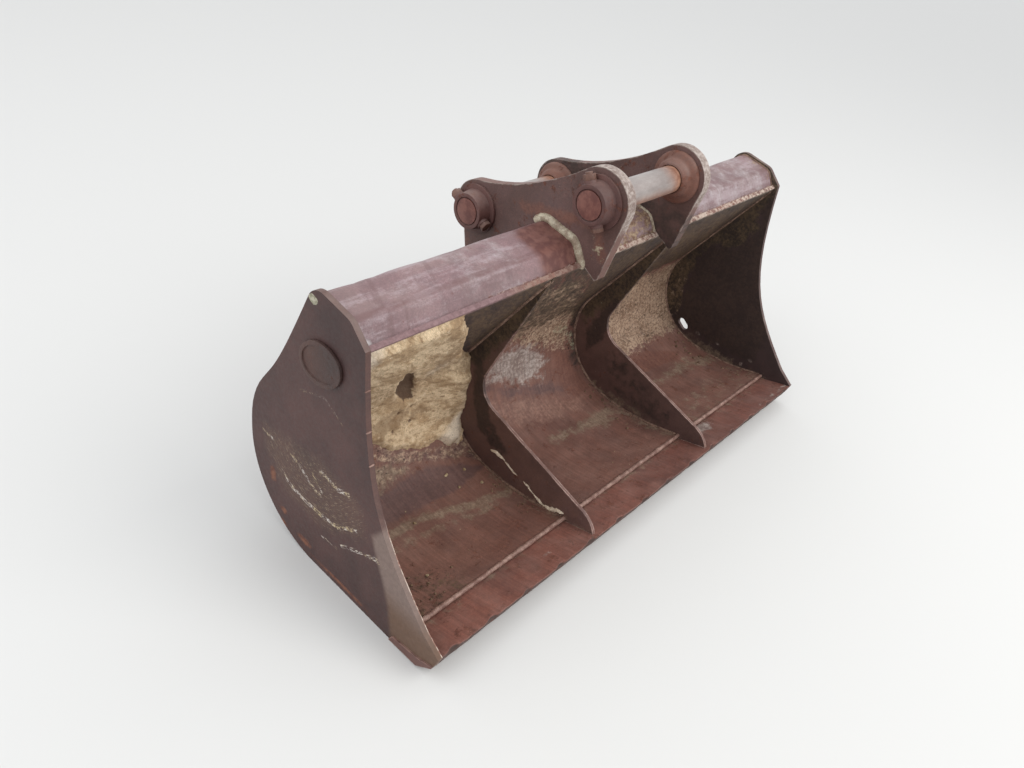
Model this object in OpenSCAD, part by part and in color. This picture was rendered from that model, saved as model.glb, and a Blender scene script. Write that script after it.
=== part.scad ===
// Wide ditch-cleaning bucket for an excavator, lying on its belly and on the shoes of its side plates.
// +X runs across the bucket, the mouth looks towards -Y, +Z is up, and the
// origin is on the ground under the middle of the bucket. Millimetres, degrees.
// The section is drawn in a plane of [back, up] with the lip of the cutting
// edge at back = 0 and the ground at up = 0, and is then run across the width.

/* [Width] */
// Width over the two side plates
bucket_w = 2000; // [1500:10:2600]
// Thickness of a side plate
side_t = 16; // [12:1:30]
// Distance of each inner rib from the middle plane
rib_at = 333; // [280:1:420]
// Thickness of an inner rib
rib_t = 11; // [8:1:25]
// Clear gap between the two ears
ear_gap = 352; // [280:1:420]
// Thickness of an ear
ear_t = 35; // [20:1:45]

/* [Cutting edge] */
// Width of the cutting edge from front to back
edge_w = 190; // [150:1:260]
// Thickness of the cutting edge
edge_t = 45; // [30:1:50]
// How far the underside of the cutting edge is cut back by its bevel
edge_bevel = 28; // [10:1:40]
// Slope of the cutting edge and of the front of the floor
edge_slope = 16; // [12:0.5:20]
// How far the shell laps over the cutting edge
edge_lap = 62; // [40:1:90]
// Distance between the worn bites along the cutting edge
bite_pitch = 145; // [100:1:200]
// Radius of a worn bite
bite_r = 13; // [5:0.5:16]

/* [Shell] */
// Thickness of the curved shell
shell_t = 14; // [10:1:20]
// Length of the flat stretch of the belly
belly_flat = 30; // [20:1:120]
// Inner radius of the belly behind the flat stretch
belly_r = 364; // [300:1:440]
// Angle through which the belly turns
belly_turn = 17; // [12:0.5:22]
// Inner radius of the back of the shell
back_r = 228; // [190:1:260]
// Angle through which the back turns
back_turn = 105; // [98:0.5:110]
// Straight run of the shell from its back up to the lip
throat = 502; // [440:1:560]

/* [Side plates and back] */
// How far the side plates stand proud of the skins
proud = 10; // [6:0.5:16]
// Thickness of the beam cover and the back skin
skin_t = 6; // [5:0.5:12]
// How far behind the edge's tip the back skin starts
skin_from = 405; // [380:1:430]
// Length of the skin's level stretch under the belly
rim_flat = 100; // [80:1:120]
// How far behind the edge's tip the side plates come down to the ground
shoe_back = 120; // [90:1:160]
// Outer radius of the side plate at the lower back
rim_r = 300; // [280:1:340]
// Straight rise of the side plate behind that radius
rim_rise = 35; // [5:1:50]
// Outer radius of the side plate above the rise
rim_back_r = 300; // [240:1:360]
// Angle through which that radius turns
rim_back_turn = 34; // [28:0.5:38]
// Straight run above that radius
rim_run = 70; // [40:1:110]
// Radius of the nose at the top rear of the beam
nose_r = 50; // [40:1:60]
// How far the centre of the nose lies behind the lip
nose_back = 152; // [120:1:180]
// How far the centre of the nose lies above the lip
nose_up = 27; // [10:1:45]
// Radius of the crest above the lip
crest_r = 40; // [30:1:50]
// How far the centre of the crest lies behind the lip
crest_back = 67; // [50:1:85]
// How far the centre of the crest lies above the lip
crest_up = 23; // [10:1:40]

/* [Ribs] */
// How far the knee of a rib lies behind its toe
knee_back = 73; // [50:1:100]
// How far the knee of a rib lies above its toe
knee_up = 58; // [40:1:80]
// Radius of the corner in the free edge of a rib
eye_r = 85; // [60:1:110]
// How far that corner lies behind the centre of the shell's back
eye_back = 13; // [0:1:30]
// How far that corner lies above the centre of the shell's back
eye_up = 79; // [60:1:100]

/* [Ears and pins] */
// Radius of the two pins
pin_r = 40; // [32:0.5:45]
// Distance between the two pin axes
pin_pitch = 470; // [440:1:500]
// Fall of the line from the front pin to the rear pin
pin_fall = 26.3; // [20:0.1:32]
// Height of the front pin above the lip
pin_rise = 195; // [170:1:230]
// Radius of the front end of an ear
lobe_r = 94; // [84:1:110]
// Radius of the rear end of an ear
lobe_rear_r = 88; // [84:1:110]
// How far an ear reaches in front of the lip
tip_front = 55; // [40:1:70]
// How far an ear reaches below the lip
tip_low = 26; // [15:1:40]
// How far the foot of an ear lies behind the centre of the shell's back
foot_back = 318; // [300:1:340]
// How far the foot of an ear lies above the centre of the shell's back
foot_up = 175; // [150:1:200]
// Outer radius of a pin collar at its middle
collar_r = 59; // [54:0.5:64]
// Length of a pin collar
collar_l = 48; // [40:1:60]
// Taper of a collar's radius over its length
collar_taper = 8; // [2:0.5:12]
// Outer radius of a collar's flange
flange_r = 76; // [70:0.5:82]
// Thickness of a collar's flange
flange_l = 8; // [4:0.5:9]
// Width and depth of the gap round the end of a pin
relief = 4; // [2:0.5:6]
// Outer radius of the flared boss inside an ear
boss_r = 80; // [70:0.5:84]
// Length of the flared boss inside an ear
boss_l = 42; // [30:1:60]
// Radius of a keeper bolt
bolt_r = 10; // [8:0.5:14]
// Free space around a pin in its bores
pin_clear = 0.3; // [0.2:0.05:0.5]

/* [Small features] */
// Length of the drain hole in the right side plate
drain_l = 56; // [40:1:80]
// Width of the drain hole
drain_w = 34; // [20:1:50]
// How far the drain hole lies behind the centre of the shell's back
drain_back = 89; // [60:1:110]
// How far the drain hole lies below the centre of the shell's back
drain_low = 168; // [140:1:175]
// Half length of the blank oval badge
badge_a = 80; // [50:1:100]
// Half height of the blank oval badge
badge_b = 60; // [40:1:80]
// Height of the badge's rim
badge_t = 8; // [4:0.5:12]
// Width of the badge's rim
badge_rim = 11; // [6:0.5:20]
// How far the middle of the badge lies behind the lip
badge_back = 138; // [110:1:160]
// How far the middle of the badge lies below the lip
badge_low = 111; // [90:1:140]

/* [Hidden] */
$fn = 96;
arc_step = 6;

// Directions and curves in the section plane
function toward(a) = [cos(a), sin(a)];
function left_of(a) = [-sin(a), cos(a)];
function steps(a) = max(2, ceil(abs(a) / arc_step));
function arc(c, r, a0, a1) =
    let (n = steps(a1 - a0))
    [for (k = [0:n]) c + r * toward(a0 + (a1 - a0) * k / n)];
function bend(p0, p1, p2, p3, t) =
    pow(1 - t, 3) * p0 + 3 * t * pow(1 - t, 2) * p1 + 3 * t * t * (1 - t) * p2 + t * t * t * p3;
function curve(p0, p1, p2, p3, n) = [for (k = [0:n]) bend(p0, p1, p2, p3, k / n)];
function backwards(points) = [for (k = [len(points) - 1:-1:0]) points[k]];

// A path of rows [length, 0] for a straight run and [radius, turn] for a left bend
function trace(at, heading, rows, i = 0) =
    i == len(rows) ? [at] :
    rows[i][1] == 0 ? concat([at], trace(at + rows[i][0] * toward(heading), heading, rows, i + 1)) :
    let (c = at + rows[i][0] * left_of(heading), a0 = heading - 90, a1 = a0 + rows[i][1],
         bow = arc(c, rows[i][0], a0, a1))
    concat([for (k = [0:len(bow) - 2]) bow[k]], trace(bow[len(bow) - 1], heading + rows[i][1], rows, i + 1));
function wider(rows, by) = [for (row = rows) row[1] == 0 ? row : [row[0] + by, row[1]]];
function last(points) = points[len(points) - 1];
function rest(points) = [for (k = [1:len(points) - 1]) points[k]];

// Cutting edge
along = toward(-edge_slope);
above = left_of(-edge_slope);
tip = [0, edge_w * sin(edge_slope) + edge_t * cos(edge_slope)];
heel_top = tip + edge_w * along;
heel_low = heel_top - edge_t * above;

// Shell, traced on its inner and its outer face from the cutting edge to the lip
lift = proud + skin_t;
floor_r = (heel_top[1] - lift) / (1 - cos(edge_slope)) - shell_t;
shell_rows = [[edge_lap, 0], [floor_r, edge_slope], [belly_flat, 0], [belly_r, belly_turn],
    [back_r, back_turn], [throat, 0]];
shell_foot = heel_top - edge_lap * along;
shell_inner = trace(shell_foot + shell_t * above, -edge_slope, shell_rows);
shell_outer = trace(shell_foot, -edge_slope, wider(shell_rows, shell_t));
lip = last(shell_inner);
lip_out = last(shell_outer);
back_centre = lip - throat * toward(belly_turn + back_turn) + back_r * left_of(belly_turn + back_turn);

// Line that the side plates follow, or that the skins follow at an inset
rim_rows = [[rim_flat, 0], [rim_r, 90], [rim_rise, 0], [rim_back_r, rim_back_turn], [rim_run, 0]];
rim_heading = 90 + rim_back_turn;
nose_heading = 113;
nose = lip + [nose_back, nose_up];
crest = lip + [crest_back, crest_up];
brow_low = 138;
brow_high = 97;
waist_pull_low = 60;
waist_pull_high = 150;
waist_steps = 8;
function back_line(inset) =
    let (low = trace([skin_from, inset], 0, wider(rim_rows, -inset)),
         end = nose + (nose_r - inset) * toward(nose_heading - 90))
    concat(low, [for (k = [1:waist_steps - 1])
        bend(last(low), last(low) + waist_pull_low * toward(rim_heading),
            end - waist_pull_high * toward(nose_heading), end, k / waist_steps)]);
function top_line(inset) =
    concat(arc(nose, nose_r - inset, nose_heading - 90, brow_high),
        arc(crest, crest_r - inset, brow_high, brow_low));

// Side plate, from its shoe round the back and over the beam to the lip, then down its front edge
corner_front = 8;
corner_up = 10;
plate_corner = lip + [-corner_front, corner_up];
plate_setback = 14;
plate_toe = tip + plate_setback * along;
shoe_turn = -74;
shoe_pull_high = 50;
shoe_pull_low = 60;
sweep_low = 44;
sweep_high = 85;
sweep_pull_low = 330;
sweep_pull_high = 430;
sweep_steps = 14;
toe_steps = 6;
plate_outline = concat(
    rest(curve(plate_toe, plate_toe + shoe_pull_high * toward(shoe_turn),
        [shoe_back - shoe_pull_low, 0], [shoe_back, 0], toe_steps)),
    back_line(0), top_line(0),
    curve(plate_corner, plate_corner - sweep_pull_high * toward(sweep_high),
        plate_toe + sweep_pull_low * toward(sweep_low), plate_toe, sweep_steps));

// Rib, parallel to the floor, round a corner and up to the lip
rib_setback = 16;
toe_turn = 67;
toe_pull = 32;
knee_turn = 15;
knee_pull = 37;
rib_toe = tip + rib_setback * along;
rib_knee = rib_toe + [knee_back, knee_up];
rib_eye = back_centre + [eye_back, eye_up];
rib_top_back = 2;
rib_top_low = 4;
rib_top = lip + [rib_top_back, -rib_top_low];
function touch(p, side) =
    let (d = p - rib_eye)
    atan2(d[1], d[0]) + side * acos(eye_r / norm(d));
rib_edge = concat(
    curve(rib_toe, rib_toe + toe_pull * toward(toe_turn),
        rib_knee - knee_pull * toward(knee_turn), rib_knee, toe_steps),
    arc(rib_eye, eye_r, touch(rib_knee, 1), touch(rib_top, -1)),
    [rib_top]);

// Ears and pins
pin_back = 2;
front_pin = lip + [pin_back, pin_rise];
rear_pin = front_pin + pin_pitch * toward(-pin_fall);
ear_tip = lip - [tip_front, tip_low];
ear_tip_cut = 8;
ear_foot = back_centre + [foot_back, foot_up];
ear_front = 184;
ear_back = -60;
saddle_low = 50;
saddle_pull_low = 160;
saddle_high = 78;
saddle_pull_high = 130;
saddle_steps = 10;
pin_l = ear_gap + 2 * ear_t + 2 * collar_l;
ear_x = ear_gap / 2;

// Keeper bolts, each through a collar and its pin
bolt_front = -117;
bolt_rear = -160;
bolt_clear = 0.5;
bolt_gap = 1.5;
pad_r = 1.8 * bolt_r;
pad_h = 4;
head_r = 1.75 * bolt_r;
head_h = 1.25 * bolt_r;
nut_h = 1.6 * bolt_r;
thread_out = 0.6 * bolt_r;
seat = collar_r + pad_h;
bolt_x = ear_x + ear_t + flange_l + bolt_gap + head_r;

// Place in the part's own frame: the middle of the depth over the ground
depth = rear_pin[0] + lobe_rear_r;
mid = depth / 2;

// Runs a section across the bucket from x0 over a width w
module across(x0, w) {
    translate([x0, -mid, 0]) rotate([90, 0, 90]) linear_extrude(w) children();
}
module plate_2d() { polygon(plate_outline); }
module shell_2d() { polygon(concat(shell_inner, backwards(shell_outer))); }
module hollow_2d() { polygon(concat(shell_inner, [shell_foot])); }
module skin_2d(from_line, to_line) { polygon(concat(from_line, backwards(to_line))); }

module ear_body_2d() {
    saddle_start = front_pin + lobe_r * toward(saddle_low);
    saddle_end = rear_pin + lobe_rear_r * toward(saddle_high);
    polygon(concat(
        [front_pin + lobe_r * toward(ear_front), ear_tip + [0, ear_tip_cut], ear_tip + [ear_tip_cut, 0], lip],
        [lip_out - throat * toward(belly_turn + back_turn)],
        [ear_foot, rear_pin + lobe_rear_r * toward(ear_back), rear_pin],
        backwards(curve(saddle_start,
            saddle_start + saddle_pull_low * toward(saddle_low - 90),
            saddle_end - saddle_pull_high * toward(saddle_high - 90), saddle_end, saddle_steps)),
        [front_pin]));
}
module ear_2d() {
    difference() {
        union() {
            ear_body_2d();
            translate(front_pin) circle(lobe_r);
            translate(rear_pin) circle(lobe_rear_r);
        }
        shell_2d();
        hollow_2d();
        for (p = [front_pin, rear_pin]) translate(p) circle(pin_r + pin_clear);
    }
}
module rib_2d() { polygon(concat([shell_foot], shell_inner, backwards(rib_edge))); }

module shell() {
    color("saddlebrown") across(-bucket_w / 2 + side_t, bucket_w - 2 * side_t) shell_2d();
}
module cutting_edge() {
    count = floor((bucket_w - 2 * side_t - 2 * bite_r) / bite_pitch);
    color("firebrick") difference() {
        across(-bucket_w / 2 + side_t, bucket_w - 2 * side_t)
            polygon([tip, heel_top, heel_low, tip + edge_bevel * along - edge_t * above]);
        for (k = [0:count]) translate([(k - count / 2) * bite_pitch, tip[0] - mid, tip[1]])
            rotate([edge_slope, 0, 0]) translate([0, 0, -2 * edge_t]) cylinder(r = bite_r, h = 3 * edge_t);
    }
}
module side_plate(x0) {
    across(x0, side_t) plate_2d();
}
module side_plate_left() { color("maroon") side_plate(-bucket_w / 2); }
module side_plate_right() {
    drain = back_centre + [drain_back, -drain_low];
    drain_tilt = 35;
    color("maroon") difference() {
        side_plate(bucket_w / 2 - side_t);
        across(bucket_w / 2 - 2 * side_t, 3 * side_t) translate(drain) rotate(drain_tilt) {
            square([drain_l - drain_w, drain_w], center = true);
            for (s = [-1, 1]) translate([s * (drain_l - drain_w) / 2, 0]) circle(drain_w / 2);
        }
    }
}
module cover_2d() {
    land_high = 8;
    land_low = 22;
    difference() {
        skin_2d(concat(top_line(proud), [lip_out - land_high * toward(belly_turn + back_turn)]),
            concat(top_line(proud + skin_t), [lip_out - land_low * toward(belly_turn + back_turn)]));
        shell_2d();
    }
}
module beam_cover_left() {
    color("rosybrown") across(-bucket_w / 2 + side_t, bucket_w / 2 - side_t - ear_x - ear_t) cover_2d();
}
module beam_cover_centre() { color("rosybrown") across(-ear_x, ear_gap) cover_2d(); }
module beam_cover_right() {
    color("rosybrown") across(ear_x + ear_t, bucket_w / 2 - side_t - ear_x - ear_t) cover_2d();
}
module back_skin() {
    color("sienna") difference() {
        across(-bucket_w / 2 + side_t, bucket_w - 2 * side_t)
            skin_2d(concat(back_line(proud), [top_line(proud)[0]]),
                concat(back_line(proud + skin_t), [top_line(proud + skin_t)[0]]));
        for (x = [-ear_x - ear_t, ear_x]) across(x, ear_t) ear_2d();
    }
}
module rib_left() { color("brown") across(-rib_at - rib_t / 2, rib_t) rib_2d(); }
module rib_right() { color("brown") across(rib_at - rib_t / 2, rib_t) rib_2d(); }
module ear_left() { color("indianred") across(-ear_x - ear_t, ear_t) ear_2d(); }
module ear_right() { color("indianred") across(ear_x, ear_t) ear_2d(); }

// Places a thing drawn along +Z across a pin, through the collar on one side
module at_bolt(p, side, angle) {
    translate([side * bolt_x, p[0] - mid, p[1]]) rotate([angle - 90, 0, 0]) children();
}
module bolt_hole(p, side, angle) {
    at_bolt(p, side, angle) cylinder(r = bolt_r + bolt_clear, h = 3 * collar_r, center = true);
}
module pin(p, angle) {
    color("silver") difference() {
        across(-pin_l / 2, pin_l) translate(p) circle(pin_r);
        for (side = [-1, 1]) bolt_hole(p, side, angle);
    }
}

// Places a thing drawn along +Z on a pin's axis, from a place x outwards or inwards
module on_axis(p, x, way) { translate([x, p[0] - mid, p[1]]) rotate([0, way * 90, 0]) children(); }
module bore(p) { across(-bucket_w / 2, bucket_w) translate(p) circle(pin_r + pin_clear); }
module collar(p, side, angle) {
    color("firebrick") difference() {
        union() {
            on_axis(p, side * (ear_x + ear_t), side) {
                cylinder(r = flange_r, h = flange_l);
                cylinder(r1 = collar_r + collar_taper / 2, r2 = collar_r - collar_taper / 2, h = collar_l);
            }
            at_bolt(p, side, angle) cylinder(r = pad_r, h = 2 * seat, center = true);
        }
        bore(p);
        on_axis(p, side * (ear_x + ear_t + collar_l - relief), side)
            cylinder(r = pin_r + relief, h = 2 * relief);
        bolt_hole(p, side, angle);
    }
}
module bolt(p, side, angle) {
    color("dimgray") at_bolt(p, side, angle) {
        translate([0, 0, -seat - nut_h - thread_out])
            cylinder(r = bolt_r, h = 2 * seat + nut_h + thread_out + head_h);
        translate([0, 0, seat]) cylinder(r = head_r, h = head_h, $fn = 6);
        translate([0, 0, -seat - nut_h]) cylinder(r = head_r, h = nut_h, $fn = 6);
    }
}

// Rows of [share of the length, share of the way from the pin's face out to the boss radius]
flare = [[0, 1], [0.22, 0.9], [0.45, 0.48], [0.72, 0.38], [1, 0.14]];
module boss(p, side) {
    color("indianred") on_axis(p, side * ear_x, -side) rotate_extrude()
        polygon(concat([[pin_r + pin_clear, 0]],
            [for (row = flare) [pin_r + row[1] * (boss_r - pin_r), row[0] * boss_l]],
            [[pin_r + pin_clear, boss_l]]));
}
module pin_front() { pin(front_pin, bolt_front); }
module pin_rear() { pin(rear_pin, bolt_rear); }
module collar_front_left() { collar(front_pin, -1, bolt_front); }
module collar_front_right() { collar(front_pin, 1, bolt_front); }
module collar_rear_left() { collar(rear_pin, -1, bolt_rear); }
module collar_rear_right() { collar(rear_pin, 1, bolt_rear); }
module bolt_front_left() { bolt(front_pin, -1, bolt_front); }
module bolt_front_right() { bolt(front_pin, 1, bolt_front); }
module bolt_rear_left() { bolt(rear_pin, -1, bolt_rear); }
module bolt_rear_right() { bolt(rear_pin, 1, bolt_rear); }
module boss_front_left() { boss(front_pin, -1); }
module boss_front_right() { boss(front_pin, 1); }
module boss_rear_left() { boss(rear_pin, -1); }
module boss_rear_right() { boss(rear_pin, 1); }
module badge_oval(inset) {
    badge_tilt = -20;
    half = [badge_a - inset, badge_b - inset];
    translate(lip + [badge_back, -badge_low]) rotate(badge_tilt)
        polygon([for (a = [0:arc_step:360 - arc_step]) [half[0] * cos(a), half[1] * sin(a)]]);
}
module badge() {
    color("maroon") {
        across(-bucket_w / 2 - badge_t / 2, badge_t / 2) badge_oval(0);
        across(-bucket_w / 2 - badge_t, badge_t / 2) difference() {
            badge_oval(0);
            badge_oval(badge_rim);
        }
    }
}

shell();
cutting_edge();
side_plate_left();
side_plate_right();
beam_cover_left();
beam_cover_centre();
beam_cover_right();
back_skin();
rib_left();
rib_right();
ear_left();
ear_right();
pin_front();
pin_rear();
collar_front_left();
collar_front_right();
collar_rear_left();
collar_rear_right();
bolt_front_left();
bolt_front_right();
bolt_rear_left();
bolt_rear_right();
boss_front_left();
boss_front_right();
boss_rear_left();
boss_rear_right();
badge();
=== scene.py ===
import math
import random

import bmesh
import bpy
import numpy as np
from mathutils import Matrix, Vector, noise
from mathutils.geometry import delaunay_2d_cdt


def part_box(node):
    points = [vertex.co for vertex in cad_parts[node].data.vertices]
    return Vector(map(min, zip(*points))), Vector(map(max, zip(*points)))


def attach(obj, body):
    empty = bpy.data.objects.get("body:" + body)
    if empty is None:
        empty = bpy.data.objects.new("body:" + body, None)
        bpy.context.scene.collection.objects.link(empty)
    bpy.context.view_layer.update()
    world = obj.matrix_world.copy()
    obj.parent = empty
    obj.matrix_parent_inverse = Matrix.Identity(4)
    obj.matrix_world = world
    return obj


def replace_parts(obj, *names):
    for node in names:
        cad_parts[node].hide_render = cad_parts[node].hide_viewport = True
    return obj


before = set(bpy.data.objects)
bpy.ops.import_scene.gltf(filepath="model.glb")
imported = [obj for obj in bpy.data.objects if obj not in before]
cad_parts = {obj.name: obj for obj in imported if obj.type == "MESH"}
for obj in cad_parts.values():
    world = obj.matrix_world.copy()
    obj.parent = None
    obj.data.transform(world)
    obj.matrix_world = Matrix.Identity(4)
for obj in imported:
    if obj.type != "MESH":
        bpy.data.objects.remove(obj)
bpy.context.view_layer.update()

MM = 0.001
FAR = 9.0
EDGE_REACH = 0.2
SHARP_ANGLE = 35
CLAY_ANGLE = 60
BEAD_ANGLE = 80
CLOD_ANGLE = 50
BEVEL_ANGLE = 40
LEAST_SPAN = 0.4 * MM
CAP_REACH = 0.02 * MM
RIM_REACH = 1e-6
NET_REACH = 1e-7
NEAR_ZERO = 1e-12
NEAR_ZERO_SQUARE = 1e-15
POINTS_AT_ONCE = 400


# Outlines in the plane of (y, z), and numbers on them

def mm(*numbers):
    """Points from pairs of millimetres."""
    return np.array(numbers).reshape(-1, 2) / 1000


def top(*values):
    """The greatest of some arrays, place by place."""
    return np.maximum.reduce(values)


def unit(rows, least=0.0):
    return rows / (np.linalg.norm(rows, axis=1)[:, None] + least)


def left_of(line):
    """The directions to the left of an open line at its points."""
    way = unit(np.gradient(line, axis=0))
    return np.stack([-way[:, 1], way[:, 0]], 1)


def at_x(x, flat):
    """Points (x, y, z) from points (y, z)."""
    return np.column_stack([np.full(len(flat), x), flat])


def open_sides(rings):
    """The directed sides of some rings that no later ring runs back along."""
    sides = {}
    for ring in rings:
        for a, b in zip(ring, ring[1:] + ring[:1]):
            if (b, a) in sides:
                del sides[(b, a)]
            elif a != b:
                sides[(a, b)] = True
    return list(sides)


def cap_loops(name):
    """The closed outlines of a node's flat end at high X, longest first, the outer one anticlockwise."""
    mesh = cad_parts[name].data
    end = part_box(name)[1].x
    rings = []
    for face in mesh.polygons:
        corners = [mesh.vertices[i].co for i in face.vertices]
        ring = [(round(c.y, 5), round(c.z, 5)) for c in corners]
        if all(abs(c.x - end) <= CAP_REACH for c in corners) and len(set(ring)) > 2:
            rings.append(ring[::-1] if face.normal.x < 0 else ring)
    follow = {}
    for a, b in open_sides(rings):
        follow.setdefault(a, []).append(b)
    loops = []
    while follow:
        loop, here = [], next(iter(follow))
        while here in follow and here not in loop[:1]:
            loop.append(here)
            ahead = follow[here].pop()
            if not follow[here]:
                del follow[here]
            here = ahead
        loops.append(tidy_loop(np.array(loop)))
    loops = sorted((r for r in loops if len(r) > 2), key=lambda r: -abs(area_of(r)))
    return [anticlockwise(r, k == 0) for k, r in enumerate(loops)]


def area_of(loop):
    ahead = np.roll(loop, -1, 0)
    return float((loop[:, 0] * ahead[:, 1] - ahead[:, 0] * loop[:, 1]).sum() / 2)


def anticlockwise(loop, wanted=True):
    return loop if (area_of(loop) > 0) == wanted else loop[::-1]


def tidy_loop(loop):
    """Drops points that nearly repeat the one before."""
    kept = [loop[0]]
    for p in loop[1:]:
        if np.linalg.norm(p - kept[-1]) > LEAST_SPAN:
            kept.append(p)
    if np.linalg.norm(kept[0] - kept[-1]) <= LEAST_SPAN:
        kept.pop()
    return np.array(kept)


def densify(line, step, closed=True):
    """Adds points so that no span is longer than step."""
    out = []
    for i in range(len(line) if closed else len(line) - 1):
        a, b = line[i], line[(i + 1) % len(line)]
        n = max(1, int(math.ceil(np.linalg.norm(b - a) / step)))
        out += [a + (b - a) * k / n for k in range(n)]
    if not closed:
        out.append(line[-1])
    return np.array(out)


def normals_of(loop):
    """Outward normals of a loop that runs anticlockwise."""
    ahead = unit(np.roll(loop, -1, 0) - loop, NEAR_ZERO)
    both = unit(ahead + np.roll(ahead, 1, 0), NEAR_ZERO)
    return np.stack([both[:, 1], -both[:, 0]], 1)


def corner_distance(loop):
    """Distance along the loop from each point to the nearest sharp corner, up to EDGE_REACH."""
    ahead = np.roll(loop, -1, 0) - loop
    span = np.linalg.norm(ahead, axis=1)
    t = ahead / (span[:, None] + NEAR_ZERO)
    turn = np.degrees(np.arccos(np.clip((t * np.roll(t, 1, 0)).sum(1), -1, 1)))
    n = len(loop)
    best = np.full(n, EDGE_REACH)
    for way in (1, -1):
        run = FAR
        for k in range(2 * n):
            i = (way * k) % n
            if turn[i] > SHARP_ANGLE:
                run = 0.0
            best[i] = min(best[i], run)
            run += span[i] if way > 0 else span[(i - 1) % n]
    return best


def nearest(points, a, e):
    """For each point the nearest of the spans from a by e: its distance, its number, the share along it."""
    found = []
    for p in np.array_split(points, 1 + len(points) // POINTS_AT_ONCE):
        s = np.clip(((p[:, None] - a) * e).sum(2) / ((e * e).sum(1) + NEAR_ZERO_SQUARE), 0, 1)
        d = np.linalg.norm(p[:, None] - (a + s[..., None] * e), axis=2)
        i = d.argmin(1)
        rows = np.arange(len(i))
        found.append(np.stack([d[rows, i], i, s[rows, i]]))
    return np.concatenate(found, axis=1)


def distance_to(points, lines, closed=True):
    """Distance from each point to the nearest of some lines."""
    best = np.full(len(points), FAR)
    for line in lines:
        a = line if closed else line[:-1]
        ends = np.roll(line, -1, 0) if closed else line[1:]
        best = np.minimum(best, nearest(points, a, ends - a)[0])
    return best


def inside(points, loops):
    """Even-odd test of points against an outline and its holes."""
    hit = np.zeros(len(points), bool)
    for loop in loops:
        for (y0, z0), (y1, z1) in zip(loop, np.roll(loop, -1, 0)):
            if z0 != z1:
                cross = (z0 > points[:, 1]) != (z1 > points[:, 1])
                hit ^= cross & (points[:, 0] < (y1 - y0) * (points[:, 1] - z0) / (z1 - z0) + y0)
    return hit


def ramp(a, b, t):
    """0 at a and 1 at b with soft ends, for a number or an array."""
    t = np.clip((t - a) / (b - a), 0, 1)
    return t * t * (3 - 2 * t)


def depth_in(points, outline):
    """Distance to an outline, above zero inside it and below outside."""
    return distance_to(points, [outline]) * np.where(inside(points, [outline]), 1, -1)


def area(points, outline, fade):
    """1 inside an outline and 0 outside, over a band of twice fade."""
    return ramp(-fade, fade, depth_in(points, outline))


def stroke(points, line, wide):
    """1 on a line, fading to 0 at a distance wide."""
    return ramp(wide, 0, distance_to(points, [line], False))


def spot(points, at, wide_a, wide_b):
    """A soft round patch."""
    return np.exp(-((points[:, 0] - at[0]) / wide_a) ** 2 - ((points[:, 1] - at[1]) / wide_b) ** 2)


def fractal(p, scale, octaves=4):
    """Smooth noise about zero at a place of the object."""
    return noise.fractal(Vector(p) * scale, 0.9, 2.1, octaves)


def fractals(rows, scale, octaves, third=0.0):
    """The same at many places, flat ones at some third number."""
    return np.array([fractal(tuple(p) if len(p) > 2 else (*p, third), scale, octaves) for p in rows])


def spread(a, b, step):
    n = max(2, int(round((b - a) / step)))
    return [a + (b - a) * k / n for k in range(n + 1)]


# Meshes

def in_scene(name, data):
    thing = bpy.data.objects.new(name, data)
    bpy.context.scene.collection.objects.link(thing)
    return thing


def new_piece(name, verts, faces, material, values=None, bevel=None, sharp=SHARP_ANGLE, mend=False):
    mesh = bpy.data.meshes.new(name)
    mesh.from_pydata([tuple(v) for v in verts], [], faces)
    mesh.validate()
    for key, value in (values or {}).items():
        attribute = mesh.attributes.new(key, "FLOAT", "POINT")
        attribute.data.foreach_set("value", np.asarray(value, np.float32))
    if mend:
        net = bmesh.new()
        net.from_mesh(mesh)
        bmesh.ops.recalc_face_normals(net, faces=net.faces)
        net.to_mesh(mesh)
        net.free()
    mesh.polygons.foreach_set("use_smooth", [True] * len(mesh.polygons))
    mesh.set_sharp_from_angle(angle=math.radians(sharp))
    mesh.materials.append(material)
    piece = in_scene(name, mesh)
    if bevel:
        add_bevel(piece, bevel)
    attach(piece, "root")
    return piece


def add_bevel(piece, width):
    modifier = piece.modifiers.new("soft_edges", "BEVEL")
    modifier.width = width
    modifier.segments = 2
    modifier.limit_method = "ANGLE"
    modifier.angle_limit = math.radians(BEVEL_ANGLE)
    modifier.use_clamp_overlap = True


def tube_faces(m, n, flip=False):
    """The sides and the two ends of n rings of m points each."""
    faces = []
    for i in range(n - 1):
        for k in range(m):
            a, b = i * m + k, i * m + (k + 1) % m
            faces.append((a, a + m, b + m, b) if flip else (a, b, b + m, a + m))
    turn = -1 if flip else 1
    return faces + [tuple(range(m))[::-turn], tuple(range((n - 1) * m, n * m))[::turn]]


def sweep(name, xs, loop, material, shape, paint=None):
    """A closed section run along X. shape gives how far each point moves along its section normal."""
    m, n = len(loop), len(xs)
    out = np.tile(normals_of(loop), (n, 1))
    at = np.column_stack([np.repeat(xs, m), np.tile(loop, (n, 1))])
    values = paint(at) if paint else {}
    values["edge"] = np.tile(corner_distance(loop), n)
    formed = at.copy()
    formed[:, 1:] += out * shape(at)[:, None]
    return new_piece(name, formed, tube_faces(m, n), material, values)


RIM_STEP = 0.5
ROW_STEP = 0.87
RIM_CLEAR = 0.75
INSETS = (0.16, 0.45)
INSET_CLEAR = 0.9


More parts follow.
